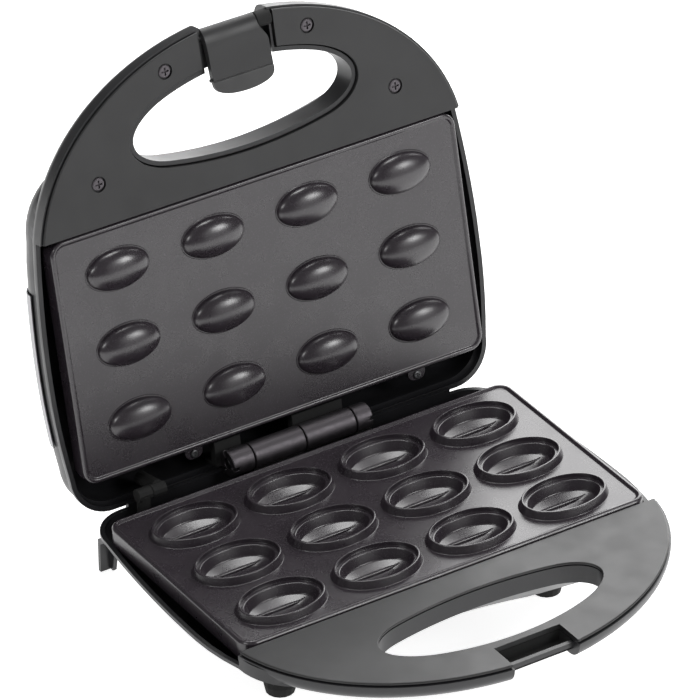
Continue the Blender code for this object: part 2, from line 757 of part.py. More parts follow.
def lower_shell(mat, parent):
    shell = half_shell(LOWER, LOWER_COVER_H)
    front_y = HANDLE_CENTRE_Y - HANDLE_B - OVERRUN
    low_x, high_x = NOTCH_X
    behind_y = LIP_Y + LIP_WALL + GAP
    for y, h_low, h_high in ((LIP_Y, 0.0, LOWER.handle + OVERRUN), (behind_y, 0.0, LIP_TOP_H),
                             (LIP_Y + LIP_WALL + HOOK_ROOM, LIP_BOTTOM_H, LOWER.handle + OVERRUN)):
        shell = cut(shell, shell_box(LOWER, low_x, high_x, front_y, y, h_low, h_high))
    inlet = [(BACK_Y - LOWER.back - 2 * WALL - LOWER.step, INLET_RADIUS + GAP),
             (BACK_Y + OVERRUN, INLET_RADIUS + GAP)]
    shell = cut(shell, turned(inlet, (INLET_X, 0.0, -INLET_H), "Y", 12))
    dress(shell, "lower_shell", mat, parent)


def upper_shell(mat, parent):
    shell = half_shell(LID, UPPER_COVER_H)
    front_y = HANDLE_CENTRE_Y - HANDLE_B - OVERRUN
    low_x, high_x = UPPER_NOTCH_X
    shell = cut(shell, shell_box(LID, low_x, high_x, front_y, OPENING_END_Y, 0.0, RECESS_H))
    shell = cut(shell, shell_box(LID, low_x, high_x, front_y, RECESS_EDGE_Y, 0.0, LID.handle + OVERRUN))
    root = UPPER_NOTCH_WALL / 2
    for ear_x in ((low_x - root, -EAR_INNER_X), (EAR_INNER_X, high_x + root)):
        ear = turned([(ear_x[0], EAR_RADIUS), (ear_x[1], EAR_RADIUS)],
                     (0.0, LATCH_Y, LATCH_Z), "X", 16)
        shell = join(shell, ear)
    reach = UPPER_NOTCH_WALL + OVERRUN
    shell = cut(shell, turned([(low_x - reach, AXLE_RADIUS + GAP), (high_x + reach, AXLE_RADIUS + GAP)],
                              (0.0, LATCH_Y, LATCH_Z), "X", 12))
    for side in (-1, 1):
        lens = [(LID.crown - 2 * WALL, LENS_RADIUS + GAP), (LID.crown + OVERRUN, LENS_RADIUS + GAP)]
        shell = cut(shell, turned(lens, (side * LENS_X, LENS_Y, 0.0), "Z"))
    dress(shell, "upper_shell", mat, parent)


def handle_cover(name, half, face_h, mat, parent):
    """Flat cover over the hollow handle, with a rounded outer edge."""
    sign = half.sign
    back = cover_back(face_h)
    edge = COVER_EDGE * EDGE_STEP_SHARE
    seat = WALL + GAP
    steps = ((COVER_INSET + COVER_EDGE, face_h), (COVER_INSET + edge, face_h + edge),
             (COVER_INSET, face_h + COVER_EDGE), (COVER_INSET, half.seam - 2 * GAP),
             (seat, half.seam - GAP), (seat, back))
    hole_grow = OPENING_WALL + SEAM
    hole_steps = ((hole_grow + edge, face_h), (hole_grow, face_h + edge), (hole_grow, back))
    bm = bmesh.new()
    rings = [loop_verts(bm, handle_arc(inset), sign * h) for inset, h in steps]
    holes = [loop_verts(bm, opening_outline(grow), sign * h) for grow, h in hole_steps]
    for group in (rings, holes):
        for ring_a, ring_b in zip(group, group[1:]):
            skin(bm, ring_a, ring_b)
    fill(bm, [rings[0], holes[0]])
    fill(bm, [rings[-1], holes[-1]])
    cover = scratch(bm)
    front_y = HANDLE_CENTRE_Y - HANDLE_B - OVERRUN
    if sign < 0:
        notch = shell_box(half, NOTCH_X[0], NOTCH_X[1], front_y, NOTCH_BACK_Y,
                          face_h - OVERRUN, back + OVERRUN)
        cover = cut(cover, notch)
        for x, y in screw_places(half):
            foot = -LOWER.handle + WALL + GAP
            boss = [(foot, BOSS_RADIUS), (-back + COVER_THICKNESS / 2, BOSS_RADIUS)]
            cover = join(cover, turned(boss, (x, y, 0.0), "Z", 12))
            bore = [(foot - OVERRUN, SCREW_SHANK_RADIUS + GAP),
                    (foot + SCREW_LENGTH - WALL, SCREW_SHANK_RADIUS + GAP)]
            cover = cut(cover, turned(bore, (x, y, 0.0), "Z", 10))
    else:
        clear = UPPER_NOTCH_WALL + SEAM
        gap = shell_box(half, UPPER_NOTCH_X[0] - clear, UPPER_NOTCH_X[1] + clear, front_y, OPENING_END_Y,
                        face_h - OVERRUN, back + OVERRUN)
        cover = cut(cover, gap)
        for x, y in screw_places(half):
            sink = [(face_h - OVERRUN, SCREW_HEAD_RADIUS + 2 * GAP),
                    (face_h + SCREW_HEAD_HEIGHT, SCREW_HEAD_RADIUS + 2 * GAP)]
            cover = cut(cover, turned(sink, (x, y, 0.0), "Z", 14))
            hole = [(face_h, SCREW_SHANK_RADIUS + GAP), (back + OVERRUN, SCREW_SHANK_RADIUS + GAP)]
            cover = cut(cover, turned(hole, (x, y, 0.0), "Z", 10))
    return dress(cover, name, mat, parent)


def centres():
    """Centres of the twelve nests, row by row."""
    points = []
    for row in range(ROWS):
        for column in range(COLUMNS):
            x = (column - (COLUMNS - 1) / 2) * PITCH_X
            y = MIDDLE_ROW_Y + ((ROWS - 1) / 2 - row) * PITCH_Y
            points.append((x, y))
    return points


def plate_edge(bm, half):
    """Bead, skirt and underside of a plate; returns the loops round its face and its back."""
    sign = half.sign
    step = half.face - half.bead
    insets = ((BEAD_WIDTH + step, half.face), (BEAD_WIDTH, half.bead), (step, half.bead),
              (0.0, half.face), (0.0, half.skirt), (PLATE_WALL, half.skirt),
              (PLATE_WALL, half.face + PLATE_SKIN))
    rings = []
    for inset, h in insets:
        outline = rounded_box(PLATE_HALF_X - inset, PLATE_FRONT_Y + inset, PLATE_BACK_Y - inset,
                              PLATE_RADIUS - inset)
        rings.append(loop_verts(bm, outline, sign * h))
    for ring_a, ring_b in zip(rings, rings[1:]):
        skin(bm, ring_a, ring_b)
    return rings[0], rings[-1]


def oval_stack(bm, centre, rows, segments):
    """Skin through ovals (a, b, z); the last one closes on a point at its centre."""
    rings = [loop_verts(bm, oval(centre, a, b, segments), z) for a, b, z in rows[:-1]]
    for ring_a, ring_b in zip(rings, rings[1:]):
        skin(bm, ring_a, ring_b)
    tip = bm.verts.new((centre[0], centre[1], rows[-1][2]))
    last = rings[-1]
    for i in range(segments):
        bm.faces.new((last[i], last[(i + 1) % segments], tip))
    return rings[0]


def cavity_rows():
    """Profile of one cavity, from the foot of its rim to the middle of its bowl."""
    face = -LOWER.face
    top = face + RIM_RISE
    ledge = top - LEDGE_DROP
    inner = RIM_WIDTH + LEDGE_WIDTH
    return ((RIM_A + RIM_FLARE, RIM_B + RIM_FLARE, face),
            (RIM_A, RIM_B, top),
            (RIM_A - RIM_WIDTH, RIM_B - RIM_WIDTH, top),
            (RIM_A - RIM_WIDTH, RIM_B - RIM_WIDTH, ledge),
            (RIM_A - inner, RIM_B - inner, ledge),
            (BOWL_A, BOWL_B, top - BOWL_EDGE_DROP),
            (0.0, 0.0, top - BOWL_DROP))


def ridge(centre):
    """Crease that marks the seam of the nut, a low roof along x."""
    top = -LOWER.face + RIM_RISE - RIDGE_TOP_DROP
    foot = -LOWER.face + RIM_RISE - BOWL_DROP - PLATE_SKIN / 4
    y = centre[1] + RIDGE_OFFSET
    bm = bmesh.new()
    corners = []
    for side in (-1, 1):
        x = centre[0] + side * RIDGE_HALF
        inner_x = centre[0] + side * (RIDGE_HALF - RIDGE_WIDTH)
        corners.append([bm.verts.new((x, y - RIDGE_WIDTH / 2, foot)),
                        bm.verts.new((x, y + RIDGE_WIDTH / 2, foot)),
                        bm.verts.new((inner_x, y, top))])
    for i in range(3):
        j = (i + 1) % 3
        bm.faces.new((corners[0][i], corners[0][j], corners[1][j], corners[1][i]))
    bm.faces.new(corners[0])
    bm.faces.new(corners[1])
    return scratch(bm)


def lug(bm, half, x):
    """Rear tab of a plate with room for its screw."""
    h = half.face + LUG_DEPTH
    z_low, z_high = span(half, h, h + LUG_THICKNESS)
    box(bm, (x - LUG_WIDTH / 2, PLATE_BACK_Y - PLATE_WALL / 2, z_low),
        (x + LUG_WIDTH / 2, PLATE_BACK_Y + LUG_LENGTH, z_high))


def plate_with_lugs(plate, half, lug_places):
    for x in lug_places:
        bm = bmesh.new()
        lug(bm, half, x)
        plate = join(plate, scratch(bm))
        h = half.face + LUG_DEPTH
        hole = [(half.sign * (h - OVERRUN / 2), SCREW_SHANK_RADIUS * SMALL_SCREW_SHARE + GAP),
                (half.sign * (h + LUG_THICKNESS + OVERRUN / 2),
                 SCREW_SHANK_RADIUS * SMALL_SCREW_SHARE + GAP)]
        plate = cut(plate, turned(hole, (x, lug_screw_y(), 0.0), "Z", 10))
    return plate


def lug_screw_y():
    return PLATE_BACK_Y + LUG_LENGTH / 2 + PLATE_WALL / 2


def lower_plate(mat, parent):
    bm = bmesh.new()
    face, back = plate_edge(bm, LOWER)
    nests = [oval_stack(bm, c, cavity_rows(), OVAL_SEGMENTS) for c in centres()]
    cup_tip = LOWER.skirt - GAP - PLATE_WALL / 4
    cups = []
    for c in centres():
        rows = ((CUP_A, CUP_B, -LOWER.face - PLATE_SKIN), (CUP_TIP_A, CUP_TIP_B, -cup_tip),
                (0.0, 0.0, -cup_tip))
        cups.append(oval_stack(bm, c, rows, CUP_SEGMENTS))
    fill(bm, [face] + nests)
    fill(bm, [back] + cups)
    plate = scratch(bm)
    for c in centres():
        plate = join(plate, ridge(c))
    plate = plate_with_lugs(plate, LOWER, LOWER_LUG_X)
    dress(plate, "lower_plate", mat, parent)


def dome_rows():
    """Profile of one dome, from its rolled foot to its tip."""
    face = LID.face
    foot = face - DOME_ROLL_RISE
    rows = [(DOME_A + DOME_ROLL, DOME_B + DOME_ROLL, face),
            (DOME_A, DOME_B, foot)]
    for angle in DOME_RING_ANGLES:
        rows.append((DOME_A * cos(angle), DOME_B * cos(angle), foot - DOME_HEIGHT * sin(angle)))
    rows.append((0.0, 0.0, foot - DOME_HEIGHT))
    return rows


def upper_plate(mat, parent):
    bm = bmesh.new()
    face, back = plate_edge(bm, LID)
    domes = [oval_stack(bm, c, dome_rows(), OVAL_SEGMENTS) for c in centres()]
    back_z = LID.face + PLATE_SKIN
    pockets = []
    for c in centres():
        tip_z = LID.face - DOME_HEIGHT / 3
        rows = ((DOME_A - PLATE_WALL, DOME_B - PLATE_WALL, back_z), (0.0, 0.0, tip_z))
        pockets.append(oval_stack(bm, c, rows, CUP_SEGMENTS))
    fill(bm, [face] + domes)
    fill(bm, [back] + pockets)
    plate = plate_with_lugs(scratch(bm), LID, UPPER_LUG_X)
    dress(plate, "upper_plate", mat, parent)


def tray(name, half, mat, parent):
    """Sheet reflector behind a plate."""
    x_half = PLATE_HALF_X - TRAY_INSET
    y_low = PLATE_FRONT_Y + TRAY_INSET
    y_high = PLATE_BACK_Y - TRAY_INSET
    near = half.skirt + GAP
    far = near + TRAY_DEPTH
    rows = ((TRAY_SHEET, near), (0.0, near), (0.0, far))
    bm = bmesh.new()
    outer = [loop_verts(bm, rounded_box(x_half - i, y_low + i, y_high - i, TRAY_RADIUS - i, 3),
                        half.sign * h) for i, h in rows]
    inner = loop_verts(bm, rounded_box(x_half - TRAY_SHEET, y_low + TRAY_SHEET, y_high - TRAY_SHEET,
                                       TRAY_RADIUS - TRAY_SHEET, 3), half.sign * (far - TRAY_SHEET))
    skin(bm, outer[0], outer[1])
    skin(bm, outer[1], outer[2])
    skin(bm, outer[0], inner)
    bm.faces.new(outer[2])
    bm.faces.new(inner)
    finish(name, bm, mat, parent)


def element_path():
    """Centre line of the heating rod: two runs between the rows, joined by a turn at the right."""
    near = MIDDLE_ROW_Y + PITCH_Y / 2
    far = MIDDLE_ROW_Y - PITCH_Y / 2
    bend_x = ELEMENT_TURN_X - ELEMENT_BEND
    points = [(ELEMENT_END_X, near)]
    points += arc((bend_x, near - ELEMENT_BEND), ELEMENT_BEND, pi / 2, 0.0, 4)
    points += arc((bend_x, far + ELEMENT_BEND), ELEMENT_BEND, 0.0, -pi / 2, 4)
    points.append((ELEMENT_END_X, far))
    return points


def heating_element(name, half, mat, parent):
    """Tubular heating rod against the back of a plate, with a pin at each end."""
    z = half.sign * (half.face + PLATE_SKIN + GAP + ELEMENT_RADIUS)
    path = element_path()
    stations = []
    pin = Vector((ELEMENT_PIN_LENGTH, 0.0))
    first = Vector(path[0])
    last = Vector(path[-1])
    stations.append((first - pin, ELEMENT_PIN_RADIUS))
    stations.append((first, ELEMENT_PIN_RADIUS))
    stations += [(Vector(p), ELEMENT_RADIUS) for p in path]
    stations.append((last, ELEMENT_PIN_RADIUS))
    stations.append((last - pin, ELEMENT_PIN_RADIUS))
    bm = bmesh.new()
    rings = []
    sides = 8
    count = len(stations)
    for n, (point, radius) in enumerate(stations):
        before = stations[max(n - 1, 0)][0]
        after = stations[min(n + 1, count - 1)][0]
        along = (after - before).normalized()
        across = Vector((along.y, -along.x))
        ring = []
        for i in range(sides):
            angle = 2 * pi * (i + 0.5) / sides
            shift = across * (radius * cos(angle))
            ring.append(bm.verts.new((point.x + shift.x, point.y + shift.y, z + radius * sin(angle))))
        rings.append(ring)
    for ring_a, ring_b in zip(rings, rings[1:]):
        skin(bm, ring_a, ring_b)
    bm.faces.new(rings[0])
    bm.faces.new(rings[-1])
    finish(name, bm, mat, parent)


def thermostat(name, half, mat, parent):
    """Bimetal switch between the plate and its tray."""
    h_low = half.face + PLATE_SKIN + GAP
    h_high = half.skirt + TRAY_DEPTH - TRAY_SHEET
    z_low, z_high = span(half, h_low, h_high)
    bm = bmesh.new()
    verts = box(bm, (-THERMOSTAT_X / 2, MIDDLE_ROW_Y - THERMOSTAT_Y / 2, z_low),
                (THERMOSTAT_X / 2, MIDDLE_ROW_Y + THERMOSTAT_Y / 2, z_high))
    edges = {e for v in verts for e in v.link_edges}
    bmesh.ops.bevel(bm, geom=list(edges), offset=WALL / 4, segments=1, affect="EDGES")
    finish(name, bm, mat, parent)


def thermal_fuse(mat, parent):
    """Fuse capsule that lies on the lower tray."""
    z = -(LOWER.skirt + TRAY_DEPTH - TRAY_SHEET - GAP - FUSE_RADIUS)
    half_length = FUSE_LENGTH / 2
    profile = [(-half_length, FUSE_RADIUS / 2), (-half_length + FUSE_RADIUS, FUSE_RADIUS),
               (half_length - FUSE_RADIUS, FUSE_RADIUS), (half_length, FUSE_RADIUS / 2)]
    bm = bmesh.new()
    turn(bm, profile, (-PITCH_X, MIDDLE_ROW_Y, z), "Y", 10)
    finish("thermal_fuse", bm, mat, parent)


def terminal_block(mat, parent):
    """Three-way block on the floor of the lower shell, with wire holes along y."""
    width, depth, height = BLOCK_SIZE
    floor = -(LOWER.crown - WALL) + GAP
    x, y = BLOCK_POINT
    body = block((x - width / 2, y - depth / 2, floor), (x + width / 2, y + depth / 2, floor + height))
    for i in (-1, 0, 1):
        hole = [(y - depth, height * WIRE_HOLE_SHARE), (y + depth, height * WIRE_HOLE_SHARE)]
        body = cut(body, turned(hole, (x + i * width / 3, 0.0, floor + height / 2), "Y", 10))
    dress(body, "terminal_block", mat, parent)


def inlet_bushing(mat, parent):
    """Moulded bushing in the rear wall through which the mains lead enters."""
    wall_out = BACK_Y - LOWER.step + GAP
    wall_in = BACK_Y - LOWER.step - WALL - GAP - LOWER.back * BELLY_SHARES[1][3]
    profile = [(wall_in - INLET_FLANGE, INLET_BORE_RADIUS), (wall_in - INLET_FLANGE, INLET_RADIUS),
               (wall_out, INLET_RADIUS), (wall_out, INLET_FLANGE_RADIUS),
               (wall_out + INLET_FLANGE, INLET_FLANGE_RADIUS),
               (wall_out + 2 * INLET_FLANGE, INLET_RADIUS),
               (wall_out + 2 * INLET_FLANGE, INLET_BORE_RADIUS)]
    bm = bmesh.new()
    turn(bm, profile, (INLET_X, 0.0, -INLET_H), "Y", 12, hollow=True)
    finish("inlet_bushing", bm, mat, parent)


def knuckle(x_range, bore):
    """Barrel of the hinge, with slightly rounded ends."""
    low, high = x_range
    soft = BARREL_RADIUS * SOFT_SHARE
    profile = [(low, bore), (low, BARREL_RADIUS - soft), (low + soft, BARREL_RADIUS),
               (high - soft, BARREL_RADIUS), (high, BARREL_RADIUS - soft), (high, bore)]
    return turned(profile, (0.0, 0.0, 0.0), "X", 12, hollow=True)


def hinge_leaf(name, half, long_barrel, end_knuckle, mat, parent):
    """Leaf of the hinge: a barrel, an end knuckle, their ledges and the web inside the rear wall."""
    bore = PIN_RADIUS + GAP
    leaf = knuckle(long_barrel, bore)
    leaf = join(leaf, knuckle(end_knuckle, bore))
    ledge = BARREL_RADIUS - LEAF_THICKNESS / 2
    wall_y = BACK_Y - half.step - WALL - GAP
    clear_h = BARREL_RADIUS + LEAF_CLEAR
    x_low = min(long_barrel[0], end_knuckle[0])
    x_high = max(long_barrel[1], end_knuckle[1])
    web = shell_box(half, x_low, x_high, wall_y - LEAF_THICKNESS, wall_y,
                    clear_h + LEAF_THICKNESS, LEAF_REACH_H)
    for low, high in (long_barrel, end_knuckle):
        web = join(web, shell_box(half, low, high, LEAF_FRONT_Y, wall_y,
                                  ledge, clear_h + 2 * LEAF_THICKNESS))
    bore_cut = turned([(x_low - OVERRUN, bore), (x_high + OVERRUN, bore)], (0.0, 0.0, 0.0), "X", 12)
    leaf = cut(join(leaf, web), bore_cut)
    dress(leaf, name, mat, parent)


def hinge_pin(mat, parent):
    low = LEFT_KNUCKLE_X[0] + GAP
    high = RIGHT_KNUCKLE_X[1] + OVERRUN / 2
    soft = PIN_RADIUS * PIN_SOFT_SHARE
    profile = [(low, PIN_RADIUS - soft), (low + soft, PIN_RADIUS), (high - soft, PIN_RADIUS),
               (high, PIN_RADIUS - soft)]
    bm = bmesh.new()
    turn(bm, profile, (0.0, 0.0, 0.0), "X", 16)
    finish("hinge_pin", bm, mat, parent)


def link_sleeve(name, half, end_x, middle_x, mat, parent):
    """Elbow round the link wires: along the hinge axis, then down beside the rear wall."""
    low, high = sorted((end_x, middle_x))
    bm = bmesh.new()
    turn(bm, [(low, SLEEVE_RADIUS), (high, SLEEVE_RADIUS)], (0.0, 0.0, 0.0), "X", 12)
    across = scratch(bm)
    inward = 1 if middle_x > end_x else -1
    leg_x = end_x + inward * SLEEVE_RADIUS
    leg_y = BACK_Y - half.step - WALL - 2 * GAP - SLEEVE_RADIUS
    z_low, z_high = span(half, 0.0, SLEEVE_REACH_H)
    leg = turned([(z_low, SLEEVE_RADIUS), (z_high, SLEEVE_RADIUS)], (leg_x, leg_y, 0.0), "Z", 12)
    dress(join(across, leg), name, mat, parent)


def screw_mesh():
    """Pan head with a cross recess on a plain shank; the head's outer face is at z = 0, facing down."""
    head = [(0.0, SCREW_HEAD_RADIUS * HEAD_RIM_SHARE), (SCREW_HEAD_HEIGHT / 3, SCREW_HEAD_RADIUS),
            (SCREW_HEAD_HEIGHT - GAP, SCREW_HEAD_RADIUS)]
    shank = [(SCREW_HEAD_HEIGHT / 2, SCREW_SHANK_RADIUS), (SCREW_LENGTH, SCREW_SHANK_RADIUS)]
    screw = join(turned(head, (0.0, 0.0, 0.0), "Z", 8), turned(shank, (0.0, 0.0, 0.0), "Z", 6))
    arm = SCREW_HEAD_RADIUS * CROSS_ARM_SHARE
    half_slot = SCREW_SLOT / 2
    cross = join(block((-arm, -half_slot, -SCREW_SLOT_DEPTH), (arm, half_slot, SCREW_SLOT_DEPTH)),
                 block((-half_slot, -arm, -SCREW_SLOT_DEPTH), (half_slot, arm, SCREW_SLOT_DEPTH)))
    return cut(screw, cross)


def screws(name, places, scale, mat, parent, turn_over=False):
    """Equal screws, one object each, at (x, y, z); driven upwards, or downwards when turned over."""
    pattern = screw_mesh()
    shared = pattern.data
    bpy.data.objects.remove(pattern)
    shared.transform(Matrix.Scale(scale, 4))
    if turn_over:
        shared.transform(Matrix.Rotation(pi, 4, "X"))
    shared.materials.clear()
    shared.materials.append(mat)
    for number, place in enumerate(places, 1):
        screw = bpy.data.objects.new(f"{name}_{number}", shared)
        bpy.context.scene.collection.objects.link(screw)
        screw.parent = parent
        screw.location = place
        shade(screw)


def front_foot(name, x, mat, parent):
    top = -LOWER.crown - GAP
    profile = [(top - FOOT_HEIGHT, FOOT_TIP_RADIUS), (top - FOOT_HEIGHT / 2, FOOT_RADIUS),
               (top, FOOT_RADIUS)]
    bm = bmesh.new()
    turn(bm, profile, (x, FOOT_Y, 0.0), "Z", 16)
    finish(name, bm, mat, parent)


def rear_leg(name, side, mat, parent):
    """Leg behind the rear corner: a web and a folded flange, trimmed to the belly."""
    outline = [(LEG_ROOT_Y, -LEG_TOP_H), (BACK_Y, -LEG_TOP_H), (LEG_REACH_Y, -LEG_KNEE_H),
               (LEG_REACH_Y, -GROUND_H), (LEG_FOOT_Y, -GROUND_H), (LEG_FOOT_Y - LEG_WALL, -LEG_UNDER_H),
               (LEG_ROOT_Y, -LEG_UNDER_H)]
    inner = LEG_X[0] + LEG_WALL
    root_y = LEG_ROOT_Y - LEG_WALL
    reach_y = LEG_REACH_Y - LEG_WALL
    pocket = [(root_y, -LEG_TOP_H - LEG_WALL), (BACK_Y, -LEG_TOP_H - LEG_WALL),
              (reach_y, -LEG_KNEE_H - LEG_WALL), (reach_y, -GROUND_H - LEG_WALL),
              (root_y, -GROUND_H - LEG_WALL)]
    bm = bmesh.new()
    low, high = sorted((side * LEG_X[0], side * LEG_X[1]))
    side_prism(bm, outline, low, high)
    leg = scratch(bm)
    low, high = sorted((side * inner, side * (LEG_X[1] + LEG_WALL)))
    bm = bmesh.new()
    side_prism(bm, pocket, low, high)
    leg = cut(leg, scratch(bm))
    leg = cut(leg, tub(LOWER, GAP, LOWER.handle - LOWER.edge))
    dress(leg, name, mat, parent)


def upper_panel(mat, parent):
    """Steel sheet bent over the lid from side to side."""
    sheet = tub(LID, PANEL_GAP + PANEL_SHEET, LID.tub_top - LID.edge)
    inner = tub(LID, PANEL_GAP, LID.tub_top - LID.edge - OVERRUN)
    zone = block((-2 * HALF_WIDTH, PANEL_FRONT_Y, LID.tub_top),
                 (2 * HALF_WIDTH, PANEL_BACK_Y, LID.crown + OVERRUN))
    sheet = cut(keep_common(sheet, zone), inner)
    for side in (-1, 1):
        hole = [(LID.crown - 2 * WALL, LENS_RADIUS + GAP), (LID.crown + OVERRUN, LENS_RADIUS + GAP)]
        sheet = cut(sheet, turned(hole, (side * LENS_X, LENS_Y, 0.0), "Z"))
    dress(sheet, "upper_panel", mat, parent)


def indicator_lens(name, x, mat, parent):
    seat = LID_REACH_H + GAP
    wide = LENS_RADIUS + LENS_FLANGE
    profile = [(seat - LENS_DEPTH, LENS_RADIUS), (seat, LENS_RADIUS), (seat, wide),
               (seat + LENS_DOME / 2, wide * LENS_RIM_SHARE), (seat + LENS_DOME, wide / 2)]
    bm = bmesh.new()
    turn(bm, profile, (x, LENS_Y, 0.0), "Z", 10)
    finish(name, bm, mat, parent)


def indicator_lamp(name, x, mat, parent):
    """Neon capsule under a lens."""
    top = LID_REACH_H + GAP - LENS_DEPTH - GAP
    profile = [(top - LAMP_LENGTH, LAMP_RADIUS / 2), (top - LAMP_LENGTH + LAMP_RADIUS, LAMP_RADIUS),
               (top - LAMP_RADIUS / 2, LAMP_RADIUS), (top, LAMP_RADIUS / 2)]
    bm = bmesh.new()
    turn(bm, profile, (x, LENS_Y, 0.0), "Z", 10)
    finish(name, bm, mat, parent)


def latch(mat, parent):
    """Latch with a barrel, a flat body, a hook rib at the crease and a rounded finger tab."""
    outer = -LATCH_BARREL_RADIUS
    inner = outer + LATCH_THICKNESS
    bore = AXLE_RADIUS + GAP
    barrel = turned([(-LATCH_BARREL_HALF, bore), (-LATCH_BARREL_HALF, LATCH_BARREL_RADIUS),
                     (LATCH_BARREL_HALF, LATCH_BARREL_RADIUS), (LATCH_BARREL_HALF, bore)],
                    (0.0, 0.0, 0.0), "X", 16, hollow=True)
    side = ((LATCH_BARREL_HALF, 0.0), (LATCH_BARREL_HALF, -LATCH_FLARE[0]),
            (LATCH_HALF, -LATCH_FLARE[1]), (LATCH_HALF, -LATCH_REACH))
    outline = list(side) + [(-x, z) for x, z in reversed(side)]
    bm = bmesh.new()
    faces = [[bm.verts.new((x, y, z)) for x, z in outline] for y in (outer, inner)]
    skin(bm, faces[0], faces[1])
    bm.faces.new(faces[0])
    bm.faces.new(faces[1])
    body = scratch(bm)
    # The tab is drawn flat as a half oval and leans outwards below the crease.
    bm = bmesh.new()
    steps = 10
    rims = []
    for y in (outer, inner):
        rim = [(-LATCH_HALF, y, -LATCH_REACH + GAP), (LATCH_HALF, y, -LATCH_REACH + GAP)]
        for i in range(steps + 1):
            angle = pi * i / steps
            drop = LATCH_TAB * sin(angle) ** TAB_CURVE_SHARE
            lean = LATCH_TAB_LEAN * drop / LATCH_TAB
            rim.append((LATCH_HALF * cos(angle), y - lean, -LATCH_REACH - drop))
        rims.append([bm.verts.new(p) for p in rim])
    skin(bm, rims[0], rims[1])
    bm.faces.new(rims[0])
    bm.faces.new(rims[1])
    tab = scratch(bm)
    bm = bmesh.new()
    tip = inner + HOOK_RISE
    hook = [(inner - GAP, -HOOK_TOP), (tip, -HOOK_TOP), (tip, -HOOK_TOP - HOOK_THICKNESS / 2),
            (inner - GAP, -HOOK_TOP - HOOK_THICKNESS)]
    side_prism(bm, hook, -HOOK_HALF, HOOK_HALF)
    rib = scratch(bm)
    peg = turned([(-PEG_HALF, PEG_RADIUS), (PEG_HALF, PEG_RADIUS)],
                 (0.0, (outer + inner) / 2, PEG_RADIUS - LATCH_REACH), "X", 8)
    piece = join(join(join(join(barrel, body), tab), rib), peg)
    way = [(-2 * LATCH_HALF, bore), (2 * LATCH_HALF, bore)]
    piece = cut(piece, turned(way, (0.0, 0.0, 0.0), "X", 16))
    dress(piece, "latch", mat, parent)


def latch_axle(mat, parent):
    reach = UPPER_NOTCH_WALL - GAP
    bm = bmesh.new()
    turn(bm, [(UPPER_NOTCH_X[0] - reach, AXLE_RADIUS), (UPPER_NOTCH_X[1] + reach, AXLE_RADIUS)],
         (0.0, LATCH_Y, LATCH_Z), "X", 12)
    finish("latch_axle", bm, mat, parent)


def open_reach_y():
    """Furthest y of the open lid behind the hinge axis, over its shell and its panel."""
    points = [(PANEL_FRONT_Y, LID_REACH_H)]
    for outline, z in tub_outlines(LID, 0.0, LID.tub_top):
        points += [(y, z) for x, y in outline]
    return max(cos(OPEN_ANGLE) * y + sin(OPEN_ANGLE) * z for y, z in points)


def front_reach_y():
    """Front of the lower handle, beside its notch."""
    return HANDLE_CENTRE_Y - HANDLE_B * sqrt(1 - (NOTCH_X[0] / HANDLE_A) ** 2)


